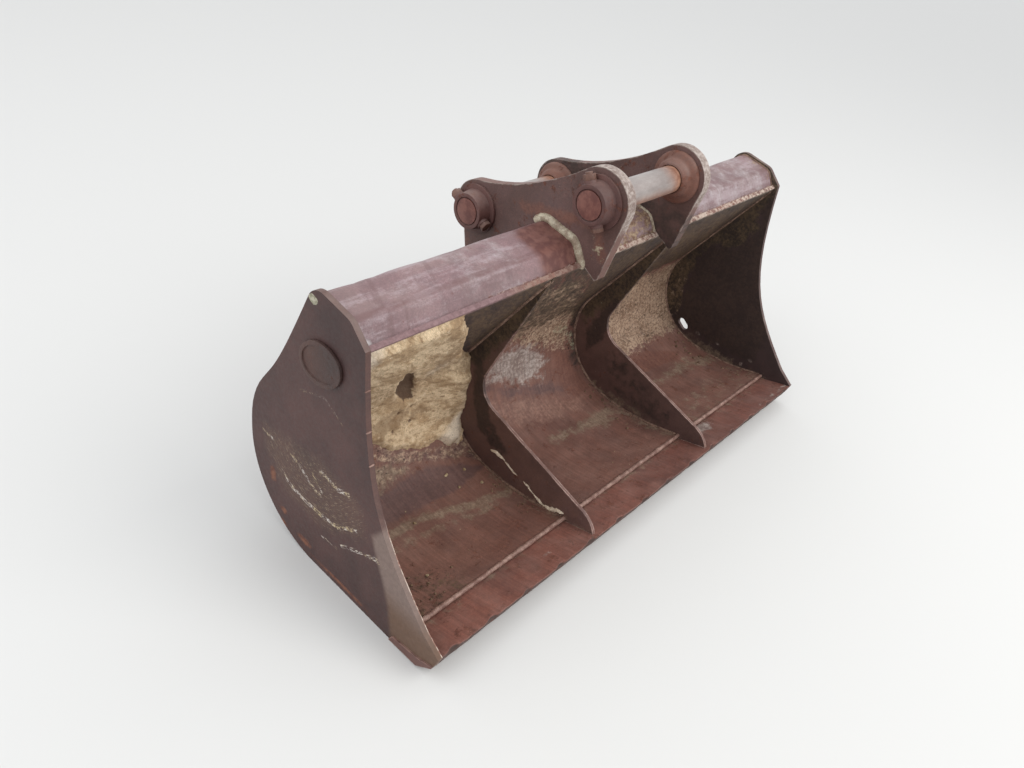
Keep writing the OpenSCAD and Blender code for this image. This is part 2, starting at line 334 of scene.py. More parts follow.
def fill(loops, step):
    """A fine net of triangles inside an outline and its holes: points, triangles, rim pairs, rim distance."""
    loops = [densify(r, step * RIM_STEP) for r in loops]
    low, high = loops[0].min(0), loops[0].max(0)
    rows = np.arange(low[1], high[1], step * ROW_STEP)
    extra = np.array([(y + (j % 2) * step / 2, z) for j, z in enumerate(rows)
                      for y in np.arange(low[0], high[0], step)])
    extra = extra[inside(extra, loops)]
    extra = extra[distance_to(extra, loops) > step * RIM_CLEAR]
    for share in INSETS:
        inset = step * share
        for r in loops:
            ring = r - normals_of(r) * inset
            good = inside(ring, loops) & (distance_to(ring, loops) > inset * INSET_CLEAR)
            extra = np.vstack([extra, ring[good]])
    bounds, at = [], 0
    for r in loops:
        bounds += [(at + k, at + (k + 1) % len(r)) for k in range(len(r))]
        at += len(r)
    points = [Vector(p) for p in np.vstack(loops + [extra])]
    net = delaunay_2d_cdt(points, bounds, [], 0, NET_REACH)
    flat = np.array([tuple(v) for v in net[0]])
    tris = np.array([f for f in net[2] if len(f) == 3])
    tris = tris[inside(flat[tris].mean(1), loops)]
    used = sorted(set(tris.ravel().tolist()))
    index = {u: k for k, u in enumerate(used)}
    flat = flat[used]
    tris = [[index[v] for v in t] for t in tris]
    for t in tris:
        a, b, c = flat[t]
        if (b[0] - a[0]) * (c[1] - a[1]) - (b[1] - a[1]) * (c[0] - a[0]) < 0:
            t.reverse()
    return flat, tris, open_sides(tris), np.minimum(distance_to(flat, loops), EDGE_REACH)


def plate(name, x0, x1, loops, material, step, bevel, paint=None, shape=None):
    """A flat plate across X with holes, on a net fine enough to dent and to paint."""
    flat, tris, links, edge = fill(loops, step)
    count = len(flat)
    rim = sorted({v for pair in links for v in pair})
    mid_of = {v: 2 * count + k for k, v in enumerate(rim)}
    at = np.vstack([at_x(x0, flat), at_x(x1, flat), at_x((x0 + x1) / 2, flat[rim])])
    values = paint(at) if paint else {}
    values["edge"] = np.concatenate([edge, edge, np.full(len(rim), (x1 - x0) / 2)])
    on_rim = np.where(edge < RIM_REACH, 0.5, 0.0)
    values["rim"] = np.concatenate([on_rim, on_rim, np.ones(len(rim))])
    if shape:
        at[:, 0] += [shape(y, z) for x, y, z in at]
    faces = [tuple(reversed(t)) for t in tris]
    faces += [tuple(v + count for v in t) for t in tris]
    for p, q in links:
        faces.append((p, q, mid_of[q], mid_of[p]))
        faces.append((mid_of[p], mid_of[q], q + count, p + count))
    return new_piece(name, at, faces, material, values, bevel)


def crust(name, loop, step, place, thick, paint):
    """A layer of dried clay on a surface. place maps flat points to (position, normal)."""
    flat, tris, links, edge = fill([loop], step)
    count = len(flat)
    at, out = place(flat)
    faces = [tuple(t) for t in tris] + [tuple(v + count for v in reversed(t)) for t in tris]
    faces += [(q, p, p + count, q + count) for p, q in links]
    values = {key: np.tile(value, 2) for key, value in paint(flat).items()}
    verts = np.vstack([at + out * thick(flat, edge)[:, None], at - out * MM])
    return new_piece(name, verts, faces, clay, values, sharp=CLAY_ANGLE, mend=True)


BEAD_SIDES = 8
BEAD_LOW, BEAD_RIPPLE = 0.86, 0.2
BEAD_END, BEAD_GROWTH = 0.35, 0.43


def bead(name, points, radius, material, pitch=9 * MM, ref=(1, 0, 0), seed=0.0, flat=1.0, ripple=1.0):
    """A weld bead along a line of points: a rippled half-sunk string of metal."""
    path = densify(np.array(points, float), pitch / 3, False)
    count = len(path)
    verts = []
    run = 0.0
    for i in range(count):
        t = Vector(path[min(i + 1, count - 1)] - path[max(i - 1, 0)]).normalized()
        u = Vector(ref)
        u = (u - t * u.dot(t)).normalized()
        w = t.cross(u)
        if i:
            run += float(np.linalg.norm(path[i] - path[i - 1]))
        phase = (run / pitch) % 1.0
        r = radius * (BEAD_LOW + BEAD_RIPPLE * ripple * math.sin(math.pi * phase))
        r *= 1 + BEAD_RIPPLE * ripple * fractal(path[i] + seed, 24, 3)
        r *= min(1.0, BEAD_END + BEAD_GROWTH * min(i, count - 1 - i))
        for k in range(BEAD_SIDES):
            a = 2 * math.pi * k / BEAD_SIDES
            verts.append(Vector(path[i]) + u * (r * math.cos(a)) + w * (r * flat * math.sin(a)))
    return new_piece(name, verts, tube_faces(BEAD_SIDES, count, True), material, sharp=BEAD_ANGLE)


def crumbs(name, places, material):
    """Loose clods, as rows of (position, normal, size)."""
    verts, faces = [], []
    for k, (at, out, size) in enumerate(places):
        ball = bmesh.new()
        bmesh.ops.create_icosphere(ball, subdivisions=2, radius=1.0)
        base = len(verts)
        for v in ball.verts:
            lump = 1 + 0.55 * fractal(v.co + Vector((k * 3.7, 0, 0)), 0.9, 3)
            low = Vector(out) * (v.co.dot(Vector(out)) * 0.4)
            verts.append(Vector(at) + (v.co - low) * (size * lump))
        faces += [tuple(base + v.index for v in f.verts) for f in ball.faces]
        ball.free()
    return new_piece(name, verts, faces, material, sharp=CLOD_ANGLE)


# Materials

def srgb(r, g, b):
    return tuple((c / 255 / 12.92 if c / 255 <= 0.04045 else ((c / 255 + 0.055) / 1.055) ** 2.4)
                 for c in (r, g, b)) + (1.0,)


class Shader:
    """Wires a material's nodes and keeps its colour, rough and height so far.

    A colour may be a node's output or three sRGB numbers.
    """

    def __init__(self, name):
        self.material = bpy.data.materials.new(name)
        self.material.use_nodes = True
        self.tree = self.material.node_tree
        self.tree.nodes.clear()
        self.solid = self.place = self.add("TexCoord", output="Object")

    def add(self, kind, inputs=(), output=0, **settings):
        """Makes a node, sets it up and gives one of its outputs."""
        node = self.tree.nodes.new("ShaderNode" + kind)
        for key, value in settings.items():
            setattr(node, key, value)
        for key, value in dict(inputs).items():
            if isinstance(value, bpy.types.NodeSocket):
                self.tree.links.new(value, node.inputs[key])
            else:
                node.inputs[key].default_value = value
        return node.outputs[output]

    def stretch(self, scale, turn=0):
        """The place turned about Z by some degrees, then scaled."""
        place = self.place
        if turn:
            place = self.add("Mapping", {"Vector": place, "Rotation": (0, 0, math.radians(turn))})
        return self.add("Mapping", {"Vector": place, "Scale": scale})

    def noise(self, scale, detail=4.0, rough=0.55, place=None, distortion=0.0):
        return self.add("TexNoise", {"Vector": place or self.place, "Scale": scale, "Detail": detail,
                                     "Roughness": rough, "Distortion": distortion}, "Fac")

    def pair(self, x, y):
        return self.add("CombineXYZ", {"X": x, "Y": y})

    def along_run(self):
        """Takes the mesh's own way over the sheet as the place, instead of Y and Z."""
        self.place = self.pair(self.mask("across"), self.mask("way"))

    def cells(self, scale):
        return self.add("TexVoronoi", {"Vector": self.place, "Scale": scale}, "Distance")

    def step(self, value, low, high, out_low=0.0, out_high=1.0):
        return self.add("MapRange", {"Value": value, "From Min": low, "From Max": high, "To Min": out_low,
                                     "To Max": out_high}, interpolation_type="SMOOTHSTEP")

    def math(self, operation, a, b=0.0):
        return self.add("Math", {0: a, 1: b}, operation=operation)

    def times(self, *values):
        out = values[0]
        for v in values[1:]:
            out = self.math("MULTIPLY", out, v)
        return out

    def plus(self, *values):
        out = values[0]
        for v in values[1:]:
            out = self.math("ADD", out, v)
        return out

    def about(self, value, strength):
        """A value of noise moved about zero."""
        return self.times(self.math("SUBTRACT", value, 0.5), strength)

    def rag(self, scale, strength):
        """Noise about zero that frays the border of a mask."""
        return self.about(self.noise(scale, 7.0, 0.7), strength)

    def frayed(self, key, scale, strength, low, high):
        """A mask of the mesh with a frayed border."""
        return self.step(self.plus(self.mask(key), self.rag(scale, strength)), low, high)

    def mix(self, share, a, b):
        a, b = (srgb(*c) if isinstance(c, tuple) else c for c in (a, b))
        return self.add("Mix", {"Factor": share, "A": a, "B": b}, "Result", data_type="RGBA")

    def lay(self, over, *shares):
        """Lays a colour over the one so far, by the product of some shares."""
        self.colour = self.mix(self.times(*shares), self.colour, over)

    def tones(self, value, low, high, a, b):
        """From one colour to another as a value goes from low to high."""
        return self.mix(self.step(value, low, high), a, b)

    def shaded(self, colour, *steps):
        """A colour darker and brighter by a value's steps."""
        return self.add("HueSaturation", {"Color": colour, "Value": self.step(*steps)})

    def shade(self, *steps):
        self.colour = self.shaded(self.colour, *steps)

    def mask(self, name):
        return self.add("Attribute", output="Fac", attribute_name=name)

    def up(self):
        normal = self.add("NewGeometry", output="Normal")
        return self.add("SeparateXYZ", {0: normal}, "Z")

    def along(self, axis):
        return self.add("SeparateXYZ", {0: self.place}, axis)

    def finish(self, strength=0.0, distance=0.0, metallic=0.0):
        """Ends the wiring, with the height so far as relief."""
        inputs = {"Base Color": self.colour, "Roughness": self.rough, "Metallic": metallic}
        if strength:
            relief = {"Strength": strength, "Distance": distance, "Height": self.height}
            inputs["Normal"] = self.add("Bump", relief)
        output = self.tree.nodes.new("ShaderNodeOutputMaterial")
        self.tree.links.new(self.add("BsdfPrincipled", inputs), output.inputs[0])
        return self.material


RUST_DARK = (70, 38, 29)
RUST = (112, 64, 46)
RUST_LIGHT = (148, 96, 68)
DUST_AND_HIGHLIGHT = (158, 140, 132)


def painted(name, paint, shade, rust, dust, rim=None, worn=None, extra=None, gloss=0.55, pits=0.6,
            sheet=False):
    """Old paint on plate: two tones, rust blotches, speckle, dust and a painted highlight on what faces up,
    and worn edges.
    """
    s = Shader(name)
    if sheet:
        s.along_run()
    fine = s.noise(240, 4, 0.6)
    grit = s.noise(75, 6, 0.7)
    s.colour = s.tones(s.noise(3.2, 5, 0.6), 0.36, 0.66, paint, shade)
    if rim:
        s.lay(rim, s.step(s.mask("rim"), 0.4, 0.6))
    s.shade(s.noise(14, 6, 0.65), 0.3, 0.7, 0.9, 1.1)
    s.shade(fine, 0.3, 0.7, 0.88, 1.12)
    s.shade(grit, 0.3, 0.72, 0.9, 1.12)
    blotch = s.plus(s.noise(19, 9, 0.68, None, 0.3), s.about(grit, 0.35))
    rusty = s.step(blotch, 0.69 - 0.3 * rust, 0.78 - 0.3 * rust)
    tone = s.tones(s.noise(46, 6, 0.7), 0.35, 0.68, RUST_DARK, RUST)
    tone = s.tones(fine, 0.56, 0.74, tone, RUST_LIGHT)
    s.lay(tone, rusty, 0.7)
    # dust with a painted highlight on faces that look up
    s.lay(DUST_AND_HIGHLIGHT, s.step(s.up(), 0.1, 0.95), s.step(s.noise(11, 7, 0.62), 0.34, 0.7), dust)
    s.height = s.plus(s.times(grit, 0.5), s.times(fine, 0.25), s.times(rusty, 0.5))
    s.rough = s.plus(s.times(rusty, 0.2), s.step(grit, 0.3, 0.7, gloss, gloss + 0.16))
    if worn:
        bare = s.frayed("edge", 60, 9 * MM, 3.5 * MM, 0.5 * MM)
        bare = s.times(bare, s.step(s.noise(17, 5, 0.6), 0.4, 0.56), 0.85)
        s.lay(worn, bare)
        s.rough = s.plus(s.rough, s.times(bare, -0.12))
    if extra:
        extra(s)
    return s.finish(pits, 0.9 * MM)


SCRAPE_CENTRE = (0.083, 0.50)


def scratched(s):
    """Pale scratches in arcs across the outer face, a worn wedge at the toe, rust low down, a chip."""
    y = s.math("SUBTRACT", s.along("Y"), SCRAPE_CENTRE[0])
    z = s.math("SUBTRACT", s.along("Z"), SCRAPE_CENTRE[1])
    radius = s.math("SQRT", s.plus(s.times(y, y), s.times(z, z)))
    turn = s.math("ARCTAN2", z, y)
    lines = s.noise(1.0, 4, 0.7, s.pair(s.times(radius, 230), s.times(turn, 15)))
    scrape = s.plus(s.mask("scrape"), s.rag(55, 0.5))
    cut = s.times(s.step(scrape, 0.3, 0.7), s.step(lines, 0.5, 0.58))
    chunk = s.times(s.step(scrape, 0.6, 0.85), s.step(s.noise(120, 5, 0.7), 0.53, 0.6))
    bright = s.math("MAXIMUM", cut, chunk)
    faint = s.frayed("haze", 14, 0.9, 0.15, 0.8)
    s.lay((104, 82, 62), faint, s.step(lines, 0.4, 0.62, 0.1, 0.4))
    hair = s.noise(1.0, 4, 0.72, s.pair(s.times(radius, 330), s.times(turn, 9)))
    s.lay((168, 148, 124), faint, s.step(hair, 0.57, 0.64), 0.6)
    cream = s.tones(s.noise(22, 4), 0.4, 0.6, (190, 170, 132), (214, 206, 198))
    s.lay(cream, bright, 0.92)
    wedge = s.times(s.frayed("wedge", 60, 0.25, 0.25, 0.75), 0.9)
    earthy = s.tones(s.along("Z"), 0.20, 0.09, (126, 108, 100), (104, 80, 64))
    earthy = s.shaded(earthy, s.noise(70, 6, 0.7), 0.35, 0.65, 0.9, 1.08)
    s.lay(earthy, wedge)
    # a pale line on the inner arris of the lower front: worn paint with a painted highlight
    arris = s.tones(s.noise(60, 4), 0.42, 0.6, (150, 110, 96), (212, 194, 180))
    s.lay(arris, s.frayed("arris", 50, 0.5, 0.62, 0.86), 0.9)
    rust = s.times(s.frayed("rust", 24, 1.1, 0.4, 0.75), 0.75)
    s.lay(s.tones(s.noise(60, 5), 0.4, 0.6, (104, 60, 44), (134, 86, 62)), rust)
    chip = s.tones(s.noise(120, 4), 0.4, 0.6, (132, 128, 106), (176, 170, 150))
    s.lay(chip, s.frayed("chip", 70, 0.7, 0.42, 0.54))
    s.rough = s.plus(s.rough, s.times(s.math("MAXIMUM", wedge, rust), 0.2))
    s.height = s.math("SUBTRACT", s.height, s.times(bright, 0.6))


# Kinds of soil, and painted shade: mask, share of its colour, raggedness and scale of its border, two tones,
# thickness
SOILS = (
    ("violet", 0.8, 0.9, 18, (86, 64, 62), (104, 78, 74), 0.0),
    ("pink", 0.7, 1.3, 30, (118, 84, 74), (158, 122, 106), 0.2),
    ("red", 0.75, 1.1, 22, (98, 62, 52), (122, 80, 66), 0.2),
    ("pale", 0.85, 1.6, 30, (124, 108, 100), (188, 176, 168), 0.3),
    ("tan", 0.9, 1.7, 40, (118, 92, 72), (188, 162, 138), 0.7),
    ("dust", 0.7, 1.5, 30, (112, 94, 78), (152, 134, 114), 0.3),
    ("grime", 0.88, 1.6, 30, (50, 40, 33), (98, 80, 58), 0.6),
    # near black: painted shade in corners, under the lip and on shaded faces, and black mould along the crack
    ("dark", 0.85, 1.4, 30, (48, 36, 33), (66, 50, 43), 0.5),
    ("cream", 0.9, 2.2, 60, (150, 138, 112), (204, 194, 166), 0.8),
)


def soiled(s):
    """Soil, mould, rust, worn patches and painted shade that the mesh's masks place, frayed by noise."""
    fleck = s.step(s.plus(s.noise(80, 8, 0.8), s.rag(11, 0.5)), 0.38, 0.64)
    for key, share, ragged, scale, low, high, thick in SOILS:
        held = s.step(s.plus(s.mask(key), s.rag(scale, ragged), s.rag(9, 0.5)), 0.35, 0.72)
        held = s.times(held, share)
        s.lay(s.mix(fleck, low, high), held)
        s.height = s.plus(s.height, s.times(held, thick))
    spotted = s.step(s.plus(s.mask("tan"), s.mask("grime"), s.rag(7, 0.8)), 0.1, 0.6)
    speck = s.step(s.plus(s.noise(90, 7, 0.78), s.rag(12, 0.4)), 0.54, 0.62)
    s.lay((44, 33, 27), speck, spotted, 0.8)


def dragged(s):
    """Soil, and fine drag marks from front to back on the floor and the edge."""
    soiled(s)
    drag = s.noise(1.0, 4, 0.7, s.stretch((120, 5, 5)))
    s.shade(drag, 0.3, 0.72, 0.86, 1.16)
    s.height = s.plus(s.height, s.times(drag, 0.35))


def shell_finish(s):
    """Soil on the sheet, and its own front edge dusted like the beam, with bare flecks to the right."""
    dragged(s)
    fine = s.noise(60, 6, 0.75, s.solid)
    dusted = s.tones(fine, 0.35, 0.65, (112, 86, 88), (140, 112, 114))
    s.lay(dusted, s.mask("lip"), 0.9)
    s.lay((182, 164, 150), s.mask("bare"), s.step(fine, 0.42, 0.58))


def edge_finish(s):
    """Soil, painted shade in the bites and under the tip, and darker patches on the rusty edge."""
    dragged(s)
    s.lay((92, 62, 56), s.step(s.noise(6, 7, 0.7), 0.52, 0.64), 0.45)


def beam_finish(s):
    """Dust in long smears along the beam, rust by the ears and along the lip, scuffs across it."""
    smear = s.noise(1.0, 6, 0.65, s.stretch((3.5, 22, 22)))
    powder = s.plus(smear, s.about(s.noise(60, 6, 0.75), 0.35))
    s.lay((186, 172, 176), s.step(powder, 0.46, 0.66), 0.4)
    scuff = s.noise(1.0, 4, 0.6, s.stretch((26, 5, 5), 20))
    s.lay((96, 68, 66), s.step(scuff, 0.61, 0.7), 0.3)
    s.lay((108, 76, 74), s.frayed("crest", 12, 0.5, 0.3, 0.8), 0.5)
    rusted = s.tones(s.noise(42, 6), 0.38, 0.62, (96, 56, 50), (122, 80, 70))
    s.lay(rusted, s.frayed("brown", 14, 0.5, 0.2, 0.65), 0.92)
    ragged = s.frayed("rag", 55, 1.1, 0.4, 0.62)
    fleck = s.tones(s.noise(90, 4), 0.45, 0.62, (110, 66, 54), (182, 158, 146))
    s.lay(fleck, ragged, 0.8)
    tan = s.frayed("tan", 38, 1.4, 0.5, 0.68)
    blot = s.tones(s.noise(80, 6, 0.7), 0.4, 0.62, (110, 80, 58), (172, 150, 120))
    s.lay(blot, tan, 0.85)
    pale = s.tones(s.noise(50, 6, 0.7), 0.4, 0.6, (176, 168, 168), (206, 202, 202))
    s.lay(pale, s.frayed("pale", 16, 0.8, 0.3, 0.7), 0.75)
    s.height = s.plus(s.height, s.times(s.plus(ragged, tan), 0.5))


def dried_clay():
    """Cream and tan patches, dark pores, painted shade in its hole and dimples."""
    s = Shader("dried_clay")
    s.along_run()
    mid = s.noise(60, 10, 0.8)
    fine = s.noise(280, 6, 0.8)
    s.colour = s.tones(s.noise(14, 9, 0.72), 0.42, 0.58, (178, 150, 116), (218, 194, 160))
    s.lay((138, 110, 80), s.step(mid, 0.51, 0.6), 0.75)
    s.lay((236, 218, 190), s.step(mid, 0.44, 0.36), 0.85)
    s.lay((238, 226, 208), s.frayed("bright", 24, 0.9, 0.3, 0.8), 0.6)
    s.shade(fine, 0.36, 0.64, 0.74, 1.16)
    pores = s.times(s.step(s.cells(70), 0.2, 0.08), s.step(s.noise(24, 5), 0.5, 0.58))
    s.lay((92, 68, 46), pores, 0.8)
    stain = s.plus(s.noise(8, 9, 0.8), s.times(s.mask("stain"), 0.12))
    s.lay((134, 108, 80), s.step(stain, 0.53, 0.62), 0.6)
    # painted shade in the broken hole and the dimples
    damp = s.tones(fine, 0.4, 0.6, (64, 46, 38), (104, 78, 60))
    s.lay(damp, s.frayed("damp", 30, 0.9, 0.4, 0.7), 0.9)
    s.height = s.math("SUBTRACT", s.plus(s.times(mid, 0.8), s.times(fine, 0.3)), s.times(pores, 0.4))
    s.rough = 0.93
    return s.finish(0.8, 2.2 * MM)


def bare_pin():
    """Bright steel where a hitch runs, brown below and rusty towards the ears."""
    s = Shader("pin_steel")
    blot = s.noise(28, 8, 0.7)
    fine = s.noise(190, 5, 0.65)
    sheen = s.noise(1.0, 4, 0.6, s.stretch((8, 26, 26)))
    s.colour = s.tones(sheen, 0.3, 0.7, (142, 132, 128), (166, 158, 154))
    s.shade(fine, 0.3, 0.7, 0.95, 1.04)
    flecks = s.times(s.step(blot, 0.62, 0.68), 0.4)
    under = s.step(s.plus(s.up(), s.rag(9, 0.3)), 0.35, -0.55)
    ends = s.step(s.plus(s.along("X"), s.rag(14, 0.05)), 0.05, 0.13)
    share = s.math("MAXIMUM", s.math("MAXIMUM", flecks, s.times(under, 0.8)), ends)
    tone = s.tones(s.noise(40, 6, 0.7), 0.4, 0.65, (126, 84, 64), (160, 118, 96))
    s.lay(tone, share)
    outside = s.step(s.math("ABSOLUTE", s.along("X")), 0.20, 0.21)
    s.lay(s.tones(blot, 0.4, 0.62, (98, 58, 52), (124, 80, 70)), outside)
    s.rough = s.plus(s.times(share, 0.35), 0.42)
    s.height = s.plus(fine, blot)
    return s.finish(0.3, 0.5 * MM, s.step(share, 0.5, 0.1, 0.0, 0.3))


def grainy(name, low, high, rough=0.85, depth=0.8 * MM):
    """Weld metal, crumbs and the like."""
    s = Shader(name)
    n = s.noise(42, 7, 0.7)
    fine = s.noise(300, 3)
    s.colour = s.tones(n, 0.38, 0.64, low, high)
    s.shade(fine, 0.3, 0.7, 0.84, 1.12)
    s.rough = rough
    s.height = s.plus(n, s.times(fine, 0.4))
    return s.finish(0.6, depth)


side_red = painted("side_paint", (77, 50, 46), (58, 37, 35), 0.1, 0.35, (86, 60, 54), None,
                   scratched, 0.5, 0.35)
side_dark = painted("side_paint_right", (72, 54, 52), (56, 42, 41), 0.1, 0.45, (78, 56, 52), None,
                    soiled, 0.6, 0.5)
strip_red = painted("strip_paint", (112, 80, 72), (94, 64, 58), 0.3, 0.2, worn=(150, 118, 106), pits=0.5)
shell_red = painted("shell_paint", (122, 84, 72), (100, 67, 58), 0.4, 0.1, extra=shell_finish,
                    gloss=0.62, pits=0.7, sheet=True)
beam_red = painted("beam_paint", (132, 105, 107), (114, 89, 91), 0.15, 0.25, worn=(160, 134, 132),
                   extra=beam_finish, gloss=0.5, pits=0.5)
back_red = painted("back_paint", (98, 70, 66), (80, 58, 54), 0.35, 0.3)
edge_rust = painted("edge_rust", (124, 78, 66), (104, 64, 54), 0.45, 0.15, extra=edge_finish,
                    gloss=0.62, pits=0.9)
rib_red = painted("rib_paint", (104, 76, 68), (84, 61, 56), 0.3, 0.2, (108, 78, 70), (176, 148, 138),
                  soiled, 0.6)
ear_red = painted("ear_paint", (98, 72, 68), (80, 56, 50), 0.4, 0.25, (108, 78, 70), (164, 150, 140), soiled)
flare_rust = painted("flare_paint", (112, 72, 58), (92, 58, 48), 0.5, 0.3)
collar_red = painted("collar_paint", (100, 66, 60), (82, 54, 50), 0.45, 0.3)
bolt_rust = painted("bolt_rust", (118, 84, 72), (88, 60, 50), 0.7, 0.4, gloss=0.6)
badge_red = painted("badge_paint", (80, 54, 47), (58, 39, 35), 0.3, 0.25, gloss=0.5, pits=2.2)
land_red = painted("land_paint", (120, 92, 94), (100, 74, 76), 0.2, 0.2, (134, 106, 106), (170, 148, 142),
                   soiled, 0.5)
weld_red = grainy("weld_painted", (98, 74, 62), (146, 118, 102))
weld_pale = grainy("weld_pale", (138, 120, 102), (188, 178, 156), 0.6)
weld_worn = grainy("weld_worn", (116, 84, 74), (160, 130, 118), 0.6)
crumb_brown = grainy("crumb_soil", (92, 68, 54), (132, 108, 86), 0.95, 2 * MM)
crumb_pale = grainy("crumb_clay", (128, 106, 78), (190, 172, 140), 0.95, 2 * MM)
clay = dried_clay()
pin_steel = bare_pin()

# Places on the bucket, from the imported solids

side_out, side_in = (corner.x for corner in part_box("side_plate_left"))
half = -side_out
rib_boxes = {n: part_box(n) for n in ("rib_left", "rib_right")}
ear_boxes = {n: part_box(n) for n in ("ear_left", "ear_right")}
ear_in, ear_out = (corner.x for corner in ear_boxes["ear_right"])
left_face = rib_boxes["rib_left"][0].x
rib_face = rib_boxes["rib_right"][0].x
HOLLOW = np.array([-0.10, 0.40])
BEAM_CORE = np.array([0.0, 0.80])


def section(name, step):
    return densify(cap_loops(name)[0], step)


def facing(loop, core, outward):
    """The longest run of a loop's points whose normals look away from (or towards) a core."""
    dot = ((loop - core) * normals_of(loop)).sum(1)
    good = dot > 0 if outward else dot < 0
    best = []
    for i in range(len(loop)):
        if good[i] and not good[i - 1]:
            run = [k % len(loop) for k in range(i, i + len(loop))]
            stop = next((j for j, k in enumerate(run) if not good[k]), len(run))
            if stop > len(best):
                best = run[:stop]
    return loop[best]


# The shell. Its places are (x, run), where run is the way from the lip of the edge over its inner face.

RUN_AT_FOOT = 0.142
shell_loop = section("shell", 10 * MM)
shell_in = facing(shell_loop, HOLLOW, False)
if shell_in[0][1] > shell_in[-1][1]:
    shell_in = shell_in[::-1]
lip_point, foot_point = shell_in[-1], shell_in[0]
shell_steps = np.diff(shell_in, axis=0)
shell_run = RUN_AT_FOOT + np.concatenate([[0], np.cumsum(np.linalg.norm(shell_steps, axis=1))])
shell_up = left_of(shell_in)

BAY_MIDDLE = 0.66
BAY_EDGE = 0.33
SLIDE_ACROSS, SLIDE_ALONG = 0.745, 0.667
SLIDE_RUN = 1.0


def smeared(x, run):
    """The place its patterns follow on the sheet, drawn out slantwise where soil has slid down the wall."""
    middle = np.where(x < -BAY_EDGE, -BAY_MIDDLE, np.where(x > BAY_EDGE, BAY_MIDDLE, 0.0))
    u = SLIDE_ACROSS * (x - middle) + SLIDE_ALONG * (run - SLIDE_RUN)
    v = SLIDE_ALONG * (x - middle) - SLIDE_ACROSS * (run - SLIDE_RUN)
    v = v * np.interp(run, (0.6, 0.9, 1.1, 1.25), (1.0, 0.65, 0.42, 0.36))
    return {"across": middle + SLIDE_ACROSS * u + SLIDE_ALONG * v,
            "way": SLIDE_RUN + SLIDE_ALONG * u - SLIDE_ACROSS * v}


def on_shell(flat):
    """Positions and normals of places (x, run) on the shell's inner face."""
    at, up = (np.column_stack([np.interp(flat[:, 1], shell_run, rows[:, k]) for k in (0, 1)])
              for rows in (shell_in, shell_up))
    return np.column_stack([flat[:, 0], at]), at_x(0.0, up)


def run_of(at):
    """The run of points near the shell's inner face, and their distance from it."""
    far, i, share = nearest(at[:, 1:], shell_in[:-1], shell_steps)
    i = i.astype(int)
    return shell_run[i] + share * np.linalg.norm(shell_steps, axis=1)[i], far


CRACK = mm(-680, 1440, -600, 1340, -500, 1180, -400, 1040, -340, 970)
UNDER_CLAY = mm(-1000, 820, -700, 740, -596, 690, -511, 640, -330, 620, -330, 490, -385, 544, -529, 596,
                -618, 628, -715, 680, -1000, 720)
DUSTY_LEFT = mm(-1000, 730, -715, 680, -618, 628, -560, 600, -660, 592, -760, 575, -1000, 560)

# What lies where on the shell: mask, bay, share, half the width of its border, outline as (x, run)
SHELL_AREAS = (
    ("grime", "middle", 1.0, 0.05, mm(-300, 1470, 340, 1470, 340, 850, 300, 820, 200, 1000, 110, 1220,
                                      -200, 1400)),
    ("violet", "left", 0.9, 0.03, mm(-1000, 560, -760, 575, -550, 590, -398, 535, -330, 480, -500, 455,
                                     -700, 480, -1000, 480)),
    ("violet", "left", 0.55, 0.02, UNDER_CLAY),
    ("violet", "middle", 0.7, 0.05, mm(-340, 800, -170, 755, -30, 690, 136, 655, 223, 599, 181, 553, -91, 638,
                                       -182, 699, -340, 740)),
    ("pink", "left", 0.4, 0.03, UNDER_CLAY),
    ("pink", "middle", 0.8, 0.07, mm(-340, 740, -174, 687, 79, 607, 266, 525, 183, 478, 13, 496, -159, 563,
                                     -340, 600)),
    ("red", "right", 0.9, 0.03, mm(340, 620, 620, 580, 718, 559, 887, 481, 822, 449, 661, 473, 340, 500)),
    ("red", "middle", 0.8, 0.04, mm(194, 752, 286, 712, 310, 541, 202, 519, 169, 601)),
    ("pale", "middle", 0.85, 0.08, mm(-340, 870, -128, 840, -69, 862, 97, 810, 162, 717, 102, 664, -30, 686,
                                      -137, 734, -340, 800)),
    ("pale", "right", 0.5, 0.04, mm(340, 740, 583, 692, 730, 686, 874, 608, 805, 574, 641, 622, 340, 660)),
    ("tan", "middle", 0.75, 0.06, mm(-340, 1420, -210, 1334, -44, 1304, 100, 1150, 310, 900, 270, 720,
                                     207, 738, -20, 840, -150, 900, -340, 920)),
    ("tan", "left", 0.65, 0.04, DUSTY_LEFT),
    ("tan", "left", 0.5, 0.02, UNDER_CLAY),
    ("dust", "left", 0.85, 0.04, DUSTY_LEFT),
    ("dust", "middle", 0.7, 0.04, mm(-38, 462, 67, 450, 270, 454, 330, 420, 314, 375, 214, 345, 57, 397,
                                     -76, 417)),
    ("dust", "right", 0.6, 0.04, mm(840, 620, 980, 560, 960, 400, 877, 460, 620, 440, 450, 460, 450, 400,
                                    980, 330, 990, 620)),
)

# The same for lines: mask, bay, share, how far it fades, points
SHELL_LINES = (
    # a painted shadow with black mould along the crack at the clay's edge
    ("dark", "left", 0.8, 0.05, CRACK),
    # painted shade along the root of the rib in the middle bay
    ("dark", "middle", 0.6, 0.08, mm(310, 660, 330, 900, 300, 1100, 320, 1300)),
    ("dust", "left", 0.7, 0.045, mm(-1000, 460, -795, 446, -695, 445, -591, 419, -491, 383, -340, 350)),
    ("dust", "left", 0.5, 0.05, mm(-1000, 430, -820, 404, -723, 390, -615, 370, -503, 349, -419, 340)),
    ("cream", "middle", 0.55, 0.04, mm(200, 825, 260, 805, 290, 775, 318, 715)),
)


